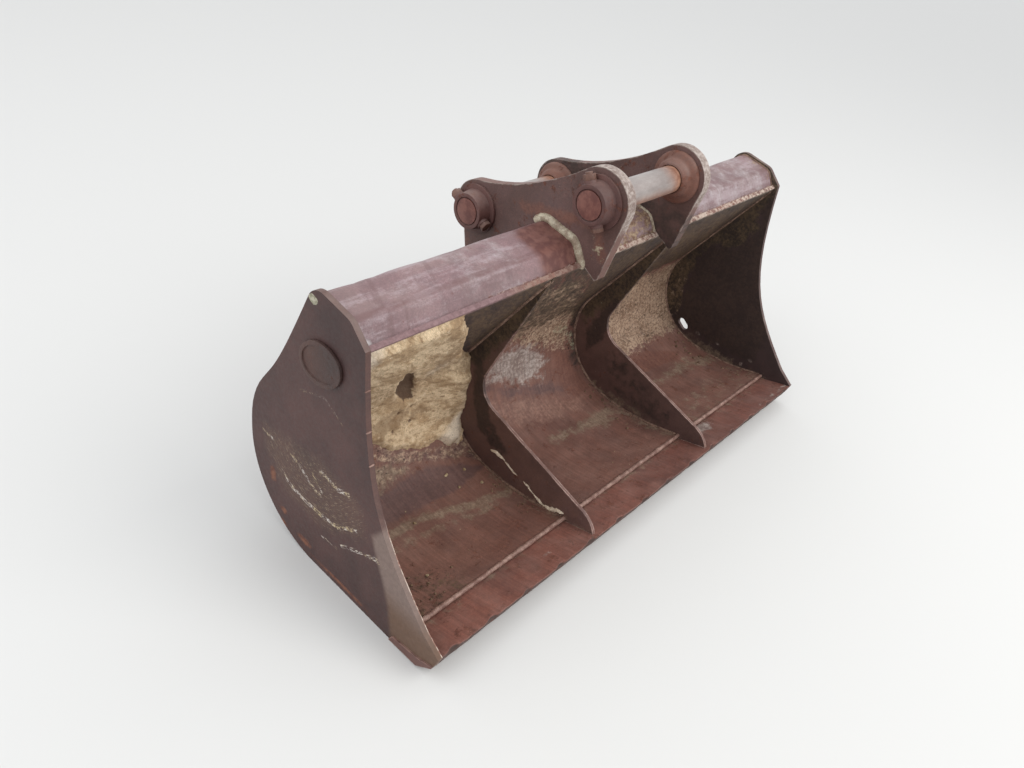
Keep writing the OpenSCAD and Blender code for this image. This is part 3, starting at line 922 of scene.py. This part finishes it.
def shell_paint(at):
    x = at[:, 0]
    run, far = run_of(at)
    flat = np.column_stack([x, run])
    inner = (far < MM).astype(float)
    bays = {"left": inner * (x < -rib_face), "middle": inner * (abs(x) < rib_face),
            "right": inner * (x > rib_face)}
    left, middle, right = bays.values()
    wall = np.minimum(abs(x - side_in), abs(abs(x) - rib_face))
    corner = ramp(0.10, 0.01, wall) * inner
    floor = ramp(0.36, 0.26, run)
    lip = (run > shell_run[-1] - 0.1 * MM).astype(float)
    rows = {
        "grime": [left * 0.9 * ramp(0.85, 1.15, run), right * 0.85 * ramp(0.86, 1.0, run),
                  middle * 0.62 * ramp(0.8, 0.95, run), 0.5 * corner * ramp(0.5, 0.75, run),
                  left * 0.42 * floor * ramp(-0.6, -0.8, x)],
        # painted shade high under the lip and in the corners by the plates and ribs
        "dark": [0.5 * ramp(1.2, 1.4, run) * inner, 0.25 * corner],
        "violet": [], "pale": [], "cream": [],
        "pink": [middle * 0.35 * floor],
        "red": [left * 0.55 * floor * ramp(-0.85, -0.6, x), 0.3 * floor * inner],
        "tan": [right * 0.85 * ramp(0.52, 0.64, run) * ramp(1.0, 0.85, run)],
        "dust": [right * 0.4 * floor, 0.55 * corner * ramp(0.6, 0.4, run)],
    }
    for table, draw in ((SHELL_AREAS, area), (SHELL_LINES, stroke)):
        for key, bay, share, fade, outline in table:
            rows[key].append(bays[bay] * share * draw(flat, outline, fade))
    return {"lip": lip * ramp(-0.42, -0.58, x),
            "bare": lip * top(0.3 * ramp(-0.6, -0.4, x), ramp(-0.22, -0.12, x)),
            **smeared(x, run), **{key: top(*values) for key, values in rows.items()}}


def shell_shape(at):
    """Soft waves over the sheet and small lumps on its floor, away from the lip and the foot."""
    high = []
    for (x, y, z), r, f in zip(at, *run_of(at)):
        if f > MM or r > shell_run[-1] - 15 * MM or r < RUN_AT_FOOT + 8 * MM:
            high.append(0.0)
            continue
        lump = max(0.0, fractal((x, y, z), 9.0, 5)) * 2.2 * MM * float(ramp(0.5, 0.35, r))
        high.append(0.9 * MM * fractal((x + 3, y, z), 3.0, 3) + lump)
    return np.array(high)


shell = sweep("shell_skin", spread(side_in, -side_in, 11 * MM), shell_loop, shell_red,
              shell_shape, shell_paint)
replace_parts(shell, "shell")

# Dried clay in the left bay, thick where it fills the corner by the rib, with a hole broken into it

CLAY_TOP = 1.44
CLAY_EDGE = np.vstack([
    [side_in, 1.447],
    mm(-676, 1447, -655, 1410, -610, 1361, -560, 1280, -517, 1214, -440, 1090, -390, 1020),
    [left_face, 0.975],
    [left_face, 0.66],
    mm(-347, 618, -375, 590, -410, 606, -442, 640, -480, 633, -537, 659, -594, 674, -646, 701, -679, 728,
       -740, 760, -850, 768),
    [side_in, 0.775]])
CLAY_HOLE = mm(-684, 1115, -664, 1020, -610, 905, -556, 838, -522, 842, -536, 912, -580, 985, -640, 1090)
CLAY_FLAP = mm(-340, 730, -390, 683, -437, 657, -430, 626, -415, 605, -373, 600, -340, 660)
CLAY_DIMPLES = mm(-573, 796, -746, 1261, -529, 749, -600, 740, -520, 800)


def frayed_edge():
    """The clay's outline with a ragged border, straight where it meets a plate or the lip."""
    line = densify(CLAY_EDGE, 7 * MM)
    out = normals_of(line) * (1 if area_of(line) > 0 else -1)
    by_wall = (line[:, 0] < side_in + 4 * MM) | (line[:, 0] > left_face - 4 * MM) | (line[:, 1] > CLAY_TOP)
    wave = np.where(by_wall, 0.0, fractals(line + (1.0, 0.0), 22, 5))
    return anticlockwise(line + out * (wave * (16 * MM))[:, None])


def dimples(flat, wide):
    return top(*(spot(flat, at, wide, wide) for at in CLAY_DIMPLES))


def clay_thick(flat, edge):
    x, run = flat.T
    by_plate = (x < side_in + 25 * MM) | (x > left_face - 25 * MM)
    corner = 58 * MM * ramp(-0.50, -0.345, x) * ramp(0.66, 0.78, run) * ramp(0.99, 0.90, run)
    body = 15 * MM + corner + 20 * MM * area(flat, CLAY_FLAP, 0.03)
    place = np.column_stack(list(smeared(x, run).values()))
    lumps = fractals(place, 11, 6) * 4 * MM
    small = fractals(place, 60, 6, 5) * 2.6 * MM
    pit = ramp(-6 * MM, 8 * MM, depth_in(flat, CLAY_HOLE) + fractals(flat, 45, 5, 9) * 9 * MM)
    pit = np.maximum(pit, dimples(flat, 9 * MM))
    high = (body + lumps + small) * ramp(-0.004, 0.016, edge + 0.02 * by_plate) * ramp(1.45, 1.41, run)
    return np.maximum(high * (1 - 0.97 * pit), 0.3 * MM)


def clay_paint(flat):
    x, run = flat.T
    return {**smeared(x, run),
            # painted shade in the broken hole and the dimples
            "damp": top(area(flat, CLAY_HOLE, 0.010), 0.8 * dimples(flat, 10 * MM)),
            "stain": top(stroke(flat, CRACK, 0.10), spot(flat, (-0.60, 0.78), 0.10, 0.05),
                         spot(flat, (-0.66, 1.33), 0.10, 0.06)),
            "bright": top(0.9 * area(flat, CLAY_FLAP, 0.03), spot(flat, (-0.80, 0.83), 0.12, 0.07),
                          ramp(-0.86, -0.97, x) * 0.8, 0.6 * spot(flat, (-0.50, 1.02), 0.08, 0.08))}


crust("clay_patch", frayed_edge(), 7 * MM, on_shell, clay_thick, clay_paint)

# Streaks of the same clay low on the left rib: width in millimetres, line as (y, z)

STREAKS = (
    (15, mm(16, 112, -6, 118, -27, 116, -50, 112)),
    (9, mm(-48, 108, -70, 104, -92, 94, -110, 92)),
    (8, mm(-137, 89, -160, 82, -186, 70)),
    (10, mm(-180, 73, -210, 62, -243, 56)),
    (22, mm(-236, 60, -262, 64, -290, 80, -310, 86)),
)


def ribbon(line, wide):
    """An outline around a line, narrow at its ends."""
    line = densify(line, 6 * MM, False)
    side = left_of(line) * (wide / 2 * (0.2 + 0.8 * np.sin(np.pi * np.linspace(0, 1, len(line)))))[:, None]
    rough = [(1 + 0.9 * fractals(line, 60, 4, k)).clip(0.25, 2)[:, None] for k in (0, 3)]
    return anticlockwise(np.vstack([line - side * rough[0], (line + side * rough[1])[::-1]]))


def on_left_face(flat):
    """Positions and normals of places (y, z) on the left face of the left rib."""
    return at_x(left_face, flat), np.tile((-1.0, 0.0, 0.0), (len(flat), 1))


def streak_thick(flat, edge):
    return np.maximum((5 * MM + 3 * MM * fractals(flat, 45, 5, 2)) * ramp(-0.001, 0.006, edge), 0.3 * MM)


def streak_paint(flat):
    return {"bright": np.full(len(flat), 0.8), "across": flat[:, 0], "way": flat[:, 1]}


for k, (wide, line) in enumerate(STREAKS):
    crust(f"clay_streak_{k + 1}", ribbon(line, wide * MM), 3 * MM, on_left_face, streak_thick,
          streak_paint)

# The cutting edge. Deep is the way back from its tip along the slope of its top.

edge_low, edge_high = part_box("cutting_edge")
edge_loop = section("cutting_edge", 7 * MM)
edge_tip = edge_loop[np.argmin(edge_loop[:, 0])]
EDGE_SLOPE = math.radians(16)
BACK = np.array([math.cos(EDGE_SLOPE), -math.sin(EDGE_SLOPE)])
BELOW = np.array([-math.sin(EDGE_SLOPE), -math.cos(EDGE_SLOPE)])
BITE_PITCH = 145 * MM
BITE_HALF = 24 * MM
BITE_DEEP = 9 * MM
BITE_REACH = 0.95


def edge_wear(xs):
    """How far the tip is worn back at each x, and how much of that its round bites take."""
    near = (np.round(xs / BITE_PITCH - 0.5) + 0.5) * BITE_PITCH
    off = (xs - near) / BITE_HALF
    round_part = np.sqrt(np.maximum(0, 1 - off ** 2)) * np.where(off < 0, 1 + 0.9 * off, 1)
    bite = BITE_DEEP * round_part * (abs(near) < BITE_REACH)
    ragged = [5.0 * MM * max(0, fractal((x, 0, 0), 9, 4)) + 1.2 * MM * max(0, fractal((x, 5, 0), 90, 2))
              for x in xs]
    ends = ramp(0, 8 * MM, np.minimum(xs - edge_low.x, edge_high.x - xs))
    return (bite + ragged) * ends, bite


def edge_mesh():
    xs = np.array(spread(edge_low.x, edge_high.x, 4 * MM))
    worn, bite = edge_wear(xs)
    m, n = len(edge_loop), len(xs)
    deep = (edge_loop - edge_tip) @ BACK
    share = ramp(34 * MM, 2 * MM, deep)
    middle = ramp(18 * MM, 30 * MM, deep) * ramp(0.16, 0.14, deep)
    below = np.clip((edge_loop - edge_tip) @ BELOW, 0, 1)
    # painted shade on the underside near the tip
    shade = np.tile(0.7 * ramp(3 * MM, 14 * MM, below) * ramp(70 * MM, 50 * MM, deep), n)
    rows = []
    for x, by in zip(xs, worn):
        row = at_x(x, edge_loop + BACK * (by * share)[:, None])
        row[:, 2] += fractals(at_x(x, edge_loop), 16, 3) * 0.8 * MM * middle
        rows.append(row)
    flat = np.column_stack([np.repeat(xs, m), np.tile(deep, n)])
    bitten = np.repeat(ramp(0.5 * MM, 6 * MM, bite), m) * ramp(36 * MM, 10 * MM, flat[:, 1])
    worn_right = 0.5 * ramp(0.5, 0.9, flat[:, 0]) * stroke(flat, mm(300, 20, 1000, 20), 0.02)
    # painted shade in the round bites and on the underside near the tip
    masks = {"edge": np.tile(corner_distance(edge_loop), n), "dark": top(0.35 * bitten, shade),
             "pale": top(spot(flat, (0.46, 0.10), 0.05, 0.03), 0.7 * spot(flat, (-0.50, 0.065), 0.03, 0.01),
                         worn_right),
             "dust": 0.45 * ramp(0.05, 0.13, flat[:, 1])}
    return new_piece("edge_blade", np.vstack(rows), tube_faces(m, n), edge_rust, masks, 1.5 * MM)


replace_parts(edge_mesh(), "cutting_edge")

# Side plates. A scrape has a share, a width in millimetres and a line as (y, z).

SCRAPES = (
    (0.8, 9, mm(306, 326, 266, 324)),
    (0.75, 9, mm(177, 328, 139, 317, 95, 289, 47, 278)),
    (1.0, 9, mm(52, 362, 17, 360, -19, 354, -61, 371)),
    (0.95, 10, mm(196, 222, 146, 211, 91, 209, 27, 212, -25, 223, -101, 272)),
    (0.7, 8, mm(219, 245, 179, 212, 123, 206)),
    (0.7, 7, mm(86, 331, 43, 295)),
    (0.8, 9, mm(-50, 170, -108, 203, -182, 235, -219, 242)),
    (0.9, 8, mm(-163, 231, -195, 243)),
    (0.65, 7, mm(32, 135, -31, 143)),
    (0.45, 9, mm(149, 570, 54, 607, -19, 571)),
)
WEDGE = mm(-159, 306, -179, 260, -217, 183, -246, 113, -269, 13, -300, -50, -600, -50, -600, 200, -200, 360)
LEFT_RUST = ((0.211, 0.089, 0.03, 0.02), (0.105, 0.049, 0.05, 0.02), (0.210, 0.039, 0.03, 0.02),
             (-0.05, 0.02, 0.2, 0.012), (0.26, 0.20, 0.02, 0.05))
HAZE = mm(300, 360, 50, 400, -100, 380, -140, 270, 20, 170, 210, 170, 300, 270)
RIGHT_BAND = mm(-200, 900, -91, 804, -54, 701, -80, 640, -12, 519, 90, 490, 125, 408, 136, 313, 144, 239,
                120, 150, 200, 50, 500, 100, 500, 900)
RIGHT_SPECKS = mm(11, 94, -89, 98, -248, 105, -217, 68)
SHOE = mm(-280.5, 26, -377.5, 40, -427.5, 58, -429, 50, -376.5, 6, -269.5, 2)
TOE = (((-0.4291, 0.0918), (-0.4422, 0.0953)), ((-0.4205, 0.0683), (-0.4300, 0.0520)),
       ((-0.4086, 0.0466), (-0.4150, 0.0375)), ((-0.3931, 0.0279), (-0.3965, 0.0232)))
SIDE_WAVE = 1.5 * MM


def with_toe(loops):
    """The side plate's outline with its lower front corner drawn out to the tip of the edge."""
    outer = loops[0].copy()
    for old, new in TOE:
        outer[np.linalg.norm(outer - old, axis=1).argmin()] = new
    return [outer] + loops[1:]


def left_shape(y, z):
    return SIDE_WAVE * (0.5 + 0.5 * fractal((0.3, y, z), 2.6, 3))


def right_shape(y, z):
    return -SIDE_WAVE * (0.5 + 0.5 * fractal((7.3, y, z), 2.6, 3))


def left_paint(at):
    x, y, z = at.T
    flat = at[:, 1:]
    scrape = top(*(share * stroke(flat, line, 1.5 * wide * MM) for share, wide, line in SCRAPES))
    inner_edge = (x > side_in - MM) * (distance_to(flat, [left_outline]) < 0.1 * MM)
    rust = top(*(spot(flat, row[:2], *row[2:]) for row in LEFT_RUST))
    outer = (x < (side_in + side_out) / 2 + MM).astype(float)
    return {"scrape": scrape * outer, "rust": 0.8 * rust, "wedge": 0.9 * area(flat, WEDGE, 0.03),
            "haze": 0.8 * area(flat, HAZE, 0.05) * outer,
            # the inner arris of the lower front: worn paint with a painted highlight
            "arris": inner_edge * (ramp(0.5, 0.30, z) * (y < 0)),
            "chip": spot(flat, (0.112, 0.855), 0.02, 0.014) * outer}


def right_paint(at):
    x, y, z = at.T
    flat = at[:, 1:]
    inner = (x < (half - side_in) / 2).astype(float)
    band = area(flat, RIGHT_BAND, 0.03)
    specks = top(*(spot(flat, place, 0.014, 0.009) for place in RIGHT_SPECKS))
    return {"grime": inner * 0.8 * band, "tan": inner * 0.5 * band * ramp(0.6, 0.2, z),
            # painted shade on the inner face, outside the band and away from the toe and the bottom
            "dark": inner * 0.85 * (1 - band) * ramp(-0.36, -0.2, y) * ramp(0.05, 0.12, z),
            "pale": inner * specks, "dust": 0.6 * inner * ramp(0.12, 0.03, z)}


left_loops = with_toe(cap_loops("side_plate_left")[:1])
left_outline = left_loops[0]
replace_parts(plate("plate_left", side_out, side_in, left_loops, side_red, 7 * MM, 2.0 * MM,
                  left_paint, left_shape), "side_plate_left")
plate("shoe_strip", side_out - 4 * MM, side_out + MM, [anticlockwise(SHOE)], strip_red, 9 * MM,
      1.2 * MM)
right_loops = with_toe(cap_loops("side_plate_right")[:2])
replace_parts(plate("plate_right", -side_in, half, right_loops, side_dark, 12 * MM, 2.0 * MM,
                  right_paint, right_shape), "side_plate_right")

# Ribs. For each, what lies where: mask, share, half the width of its border, outline as (y, z).

RIB_AREAS = {
    "rib_left": (
        ("grime", 0.85, 0.04, mm(240, 420, 190, 600, 60, 740, -30, 820, -140, 840, -100, 740, 0, 600, 90, 460,
                                 120, 380, 200, 360)),
        # painted shade on the rib's faces
        ("dark", 0.8, 0.03, mm(201, 514, 155, 405, 142, 291, 103, 167, 22, 124, -29, 106, -50, 160, 30, 220,
                               80, 320, 120, 460, 160, 560)),
        ("red", 0.7, 0.03, mm(100, 220, 78, 230, 20, 190, 0, 150, 40, 160))),
    "rib_right": (
        ("grime", 0.85, 0.04, mm(40, 460, -20, 620, -120, 820, 0, 820, 100, 660, 200, 520, 250, 340, 190, 270,
                                 130, 360)),
        # painted shade on the rib's faces
        ("dark", 0.9, 0.03, mm(185, 245, 150, 165, 90, 270, 60, 400, 90, 460, 146, 343)),
        ("dark", 0.5, 0.04, mm(90, 190, 0, 60, -270, 40, -280, 140, -100, 220, 20, 300))),
}


def rib_shape(y, z):
    return 2.0 * MM * float(ramp(0.10, 0.22, z) * ramp(0.75, 0.6, z)) * fractal((0.7, y, z), 3.0, 2)


def rib_paint(name, at):
    y, z = at[:, 1:].T
    if name == "rib_left":
        masks = {"violet": 0.45 * ramp(0.3, 0.1, z), "dust": 0.45 * ramp(0.16, 0.06, z) * ramp(0.0, -0.2, y)}
    else:
        masks = {"dust": 0.5 * ramp(0.11, 0.05, z)}
    for key, share, fade, outline in RIB_AREAS[name]:
        masks[key] = np.maximum(masks.get(key, 0.0), share * area(at[:, 1:], outline, fade))
    return masks


for name, (low, high) in rib_boxes.items():
    rib = plate(name + "_plate", low.x, high.x, cap_loops(name)[:1], rib_red, 10 * MM, 1.8 * MM,
                lambda at: rib_paint(name, at), rib_shape)
    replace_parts(rib, name)

# Beam covers and the back skin. A dent has its x and y, its width, and its depth in millimetres.

DENTS = ((-0.79, 0.02, 0.06, 6.0), (-0.62, 0.09, 0.09, 4.0), (-0.44, 0.0, 0.05, 4.5),
         (-0.86, 0.10, 0.05, 4.0), (-0.33, 0.05, 0.07, 3.0), (0.48, 0.04, 0.07, 4.0),
         (0.70, 0.09, 0.08, 3.0), (0.88, 0.0, 0.05, 3.5), (0.02, 0.03, 0.08, 3.0),
         (-0.70, 0.015, 0.03, 3.5), (-0.56, 0.01, 0.035, 4.0))
DENT_LENGTH = 0.55
CREST = lip_point[0] + 55 * MM


def cover_shape(at):
    x = at[:, 0]
    d = 0.8 * MM * fractals(at, 5.0, 3)
    for dx, dy, wide, deep in DENTS:
        d -= deep * MM * spot(at, (dx, dy), wide, DENT_LENGTH * wide)
    by_ears = np.minimum(abs(abs(x) - ear_in), abs(abs(x) - ear_out))
    return d * ramp(0, 0.05, half - abs(x)) * ramp(0, 0.03, by_ears)


def cover_paint(at):
    x, y, z = at.T
    lip_y, lip_z = lip_point
    low = ramp(lip_z + 24 * MM, lip_z + 4 * MM, z) * (y < CREST)
    chips = spot(at[:, ::2], (-0.975, lip_z + 0.012), 0.02, 0.012)
    return {"rag": 0.75 * low * ramp(-0.75, -0.55, x) + 0.1 * low,
            "tan": np.maximum(0.62 * (abs(x) < ear_in), 0.5 * ramp(0.84, 0.98, x)),
            "crest": 0.85 * np.exp(-((y - CREST) / 0.014) ** 2),
            "brown": ramp(-0.42, -0.29, x) * (x < 0) * ramp(lip_y + 0.20, lip_y + 0.13, y),
            "pale": top(chips, 0.38 * ramp(ear_out, 0.35, x) * ramp(0.99, 0.90, x),
                        0.36 * ramp(-0.80, -0.62, x) * ramp(-0.34, -0.46, x))}


for name in ("beam_cover_left", "beam_cover_centre", "beam_cover_right"):
    low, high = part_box(name)
    piece = sweep(name + "_skin", spread(low.x, high.x, 8 * MM), section(name, 6 * MM), beam_red,
                  cover_shape, cover_paint)
    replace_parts(piece, name)
cover_line = facing(section("beam_cover_left", 6 * MM), BEAM_CORE, True)
if cover_line[0][0] > cover_line[-1][0]:
    cover_line = cover_line[::-1]


def moved(line, by):
    """A line of section points moved towards the left of its run."""
    return line + left_of(line) * by


def land_shape(at):
    return 1.2 * MM * fractals(at, 20, 4)


def land_paint(at):
    x = at[:, 0]
    return {"red": 0.6 * ramp(-0.75, -0.5, x) * ramp(-0.15, -0.25, x), "pale": 0.6 * ramp(-0.2, -0.1, x)}


land = cover_line[:3]
land_loop = anticlockwise(np.vstack([moved(land, -1 * MM), moved(land, 2.2 * MM)[::-1]]))
for side, a, b in (("left", side_in, -ear_out), ("centre", -ear_in, ear_in), ("right", ear_out, -side_in)):
    sweep(f"lip_land_{side}", spread(a, b, 6 * MM), densify(land_loop, 4 * MM), land_red,
          land_shape, land_paint)


def back_shape(at):
    d = 1.3 * MM * fractals(at + (0.0, 9.0, 0.0), 3.5, 3) - 1.0 * MM
    return d * ramp(0, 0.06, half - abs(at[:, 0])) * (at[:, 2] > 0.03)


back = sweep("back_skin_plate", spread(side_in, -side_in, 18 * MM), section("back_skin", 14 * MM), back_red,
             back_shape)
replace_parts(back, "back_skin")

# Ears

EAR_RUST = mm(185, 882, -44, 936, -87, 929, -118, 858)
ear_outline = cap_loops("ear_left")[0]


def ear_paint(at):
    x, y, z = at.T
    flat = at[:, 1:]
    near = (x < 0).astype(float)
    # the top of the ear's rim paler: worn paint with a painted highlight
    head = (distance_to(flat, [ear_outline]) < 0.1 * MM) * ramp(0.90, 0.98, z) * ramp(0.06, 0.0, y)
    return {"pale": 0.9 * head,
            "red": near * top(0.7 * stroke(flat, EAR_RUST, 0.05),
                              0.6 * spot(flat, (0.382, 0.673), 0.05, 0.06)),
            "violet": near * 0.6 * spot(flat, (0.09, 0.93), 0.12, 0.05),
            "cream": near * 0.45 * spot(flat, (-0.10, 0.875), 0.03, 0.03),
            # the far ear painted in shade below its top
            "dark": (1 - near) * 0.6 * ramp(0.99, 0.88, z)}


for name, (low, high) in ear_boxes.items():
    ear = plate(name + "_plate", low.x, high.x, cap_loops(name)[:3], ear_red, 12 * MM, 3.0 * MM,
                ear_paint)
    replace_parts(ear, name)

# Pins, collars, bosses, bolts and the badge keep their solids


def dress(name, material, bevel):
    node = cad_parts[name]
    node.data.materials.clear()
    node.data.materials.append(material)
    if "custom_normal" in node.data.attributes:
        node.data.attributes.remove(node.data.attributes["custom_normal"])
    weld = node.modifiers.new("join", "WELD")
    weld.merge_threshold = 0.02 * MM
    add_bevel(node, bevel)
    node.data.polygons.foreach_set("use_smooth", [True] * len(node.data.polygons))
    node.data.set_sharp_from_angle(angle=math.radians(SHARP_ANGLE))


DRESS = {"pin": (pin_steel, 2.5 * MM), "collar": (collar_red, 2.0 * MM), "boss": (flare_rust, 3.0 * MM),
         "bolt": (bolt_rust, 1.0 * MM), "badge": (badge_red, 2.0 * MM)}
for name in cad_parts:
    kind = name.split("_")[0]
    if kind in DRESS:
        dress(name, *DRESS[kind])

# Welds

TACK_HEIGHTS = (0.718, 0.607, 0.517)
inner_run = shell_in[1:-1]
for side, x in (("left", side_in), ("right", -side_in)):
    bead(f"weld_shell_{side}", at_x(x, inner_run), 5 * MM, weld_red, seed=x)
    bead(f"weld_cover_{side}", at_x(x, cover_line), 4.5 * MM, weld_red, seed=x)
for name, corners in rib_boxes.items():
    for side, corner in zip("ab", corners):
        bead(f"weld_{name}_{side}", at_x(corner.x, inner_run), 6 * MM, weld_red, seed=corner.x)
floor_line = [(x, foot_point[0] - 1 * MM, foot_point[1] - 2 * MM) for x in spread(side_in, -side_in, 30 * MM)]
bead("weld_floor", floor_line, 7.5 * MM, weld_worn, ref=(0, 0, 1))
for name, corners in ear_boxes.items():
    for side, corner in zip("ab", corners):
        x = corner.x
        if (x < 0) == (side == "a"):
            bead(f"weld_{name}_{side}", at_x(x, moved(cover_line, 8 * MM)), 13 * MM, weld_pale,
                 14 * MM, seed=x, flat=1.2, ripple=0.35)
        else:
            bead(f"weld_{name}_{side}", at_x(x, cover_line), 6 * MM, weld_pale, 12 * MM, seed=x)
for z in TACK_HEIGHTS:
    a, b = left_outline, np.roll(left_outline, -1, 0)
    cross = (a[:, 1] > z) != (b[:, 1] > z)
    a, b = a[cross], b[cross]
    y = min(a[:, 0] + (z - a[:, 1]) * (b[:, 0] - a[:, 0]) / (b[:, 1] - a[:, 1]))
    bead(f"tack_{int(z * 1000)}", [(side_out, y, z), (side_in, y, z)], 2.5 * MM, weld_worn, 6 * MM,
         ref=(0, 0, 1))

# Clods and flecks of soil on the floor of the bucket

dice = random.Random(11)
brown, pale = [], []
BY_SIDE = 6 * MM
BY_RIB = 14 * MM
CLOD_RUNS = (0.15, 0.9)

# Pile, how many, middle as (x, run), spread of both, smallest and largest size in millimetres
CLODS = [
    (brown, 70, (-0.90, 0.21), (0.06, 0.035), 1.2, 5),
    (brown, 40, (-0.62, 0.22), (0.20, 0.05), 0.8, 2.5),
    (brown, 40, (-0.37, 0.30), (0.02, 0.12), 1.2, 5),
    (brown, 50, (-0.29, 0.36), (0.02, 0.10), 1.2, 6),
    (brown, 50, (0.29, 0.40), (0.025, 0.10), 1.2, 6),
    (brown, 70, (0.93, 0.40), (0.035, 0.12), 1.2, 7),
    (brown, 90, (0.0, 0.25), (0.5, 0.08), 0.8, 2.5),
    (pale, 26, (-0.70, 0.40), (0.18, 0.08), 0.8, 2.5),
    (pale, 20, (0.10, 0.20), (0.25, 0.05), 0.8, 2.5),
]
CLODS += [(pale, 1, place, (0.001, 0.001), 4.5, 6)
          for place in mm(-695, 439, -483, 526, -402, 437, -415, 510, -809, 262, -478, 467)]


def strew(pile, count, middle, wide, small, large):
    """Clods around a place of the shell, where no plate stands."""
    for _ in range(count):
        x = middle[0] + dice.gauss(0, wide[0])
        run = middle[1] + dice.gauss(0, wide[1])
        by_rib = abs(abs(x) - rib_face) < BY_RIB
        if abs(x) > -side_in - BY_SIDE or not CLOD_RUNS[0] < run < CLOD_RUNS[1] or by_rib:
            continue
        at, up = on_shell(np.array([(x, run)]))
        size = small + (large - small) * dice.random() ** 3
        pile.append((at[0] + up[0] * size * 0.25, up[0], size))


for pile, count, middle, wide, small, large in CLODS:
    strew(pile, count, middle, wide, small * MM, large * MM)
crumbs("clods_brown", brown, crumb_brown)
crumbs("clods_pale", pale, crumb_pale)

# Floor, light and camera

FLOOR_HALF = 30
scene = bpy.context.scene
floor_mesh = bpy.data.meshes.new("floor")
floor_corners = [(FLOOR_HALF * a, FLOOR_HALF * b, 0) for a, b in ((-1, -1), (1, -1), (1, 1), (-1, 1))]
floor_mesh.from_pydata(floor_corners, [], [(0, 1, 2, 3)])
ground = Shader("floor_plain")
ground.colour, ground.rough = srgb(214, 214, 212), 0.9
floor_mesh.materials.append(ground.finish())
in_scene("floor", floor_mesh)

scene.world = bpy.data.worlds.new("soft_sky")
scene.world.use_nodes = True
sky = scene.world.node_tree.nodes["Background"]
sky.inputs["Color"].default_value = (0.97, 0.98, 1.0, 1.0)
sky.inputs["Strength"].default_value = 1.05


def lamp(name, place, aim, size, power, tone):
    data = bpy.data.lights.new(name, "AREA")
    data.shape = "DISK"
    data.size = size
    data.energy = power
    data.color = tone
    body = in_scene(name, data)
    body.location = place
    body.rotation_euler = (Vector(aim) - Vector(place)).to_track_quat("-Z", "Y").to_euler()


lamp("key", (1.6, -3.9, 5.2), (0, 0, 0.4), 4.5, 170, (1.0, 0.98, 0.95))
lamp("fill", (-4.5, 2.0, 4.0), (0, 0, 0.5), 5.0, 60, (0.96, 0.98, 1.0))

CAMERA_AT = (-1.9661, -1.1545, 1.8627)
CAMERA_RIGHT = Vector((0.668641, -0.721621, 0.179397))
CAMERA_DOWN = Vector((-0.343679, -0.513855, -0.786027))
CAMERA_AHEAD = Vector((0.659397, 0.463915, -0.591590))
FOCAL_PIXELS = 808.14
PHOTO_WIDTH = 1024
SENSOR_WIDTH = 36.0
lens = bpy.data.cameras.new("camera")
lens.sensor_width = SENSOR_WIDTH
lens.lens = SENSOR_WIDTH * FOCAL_PIXELS / PHOTO_WIDTH
camera = in_scene("camera", lens)
turn = Matrix((CAMERA_RIGHT, -CAMERA_DOWN, -CAMERA_AHEAD)).transposed().to_4x4()
camera.matrix_world = Matrix.Translation(CAMERA_AT) @ turn
scene.camera = camera
scene.view_settings.view_transform = "Standard"
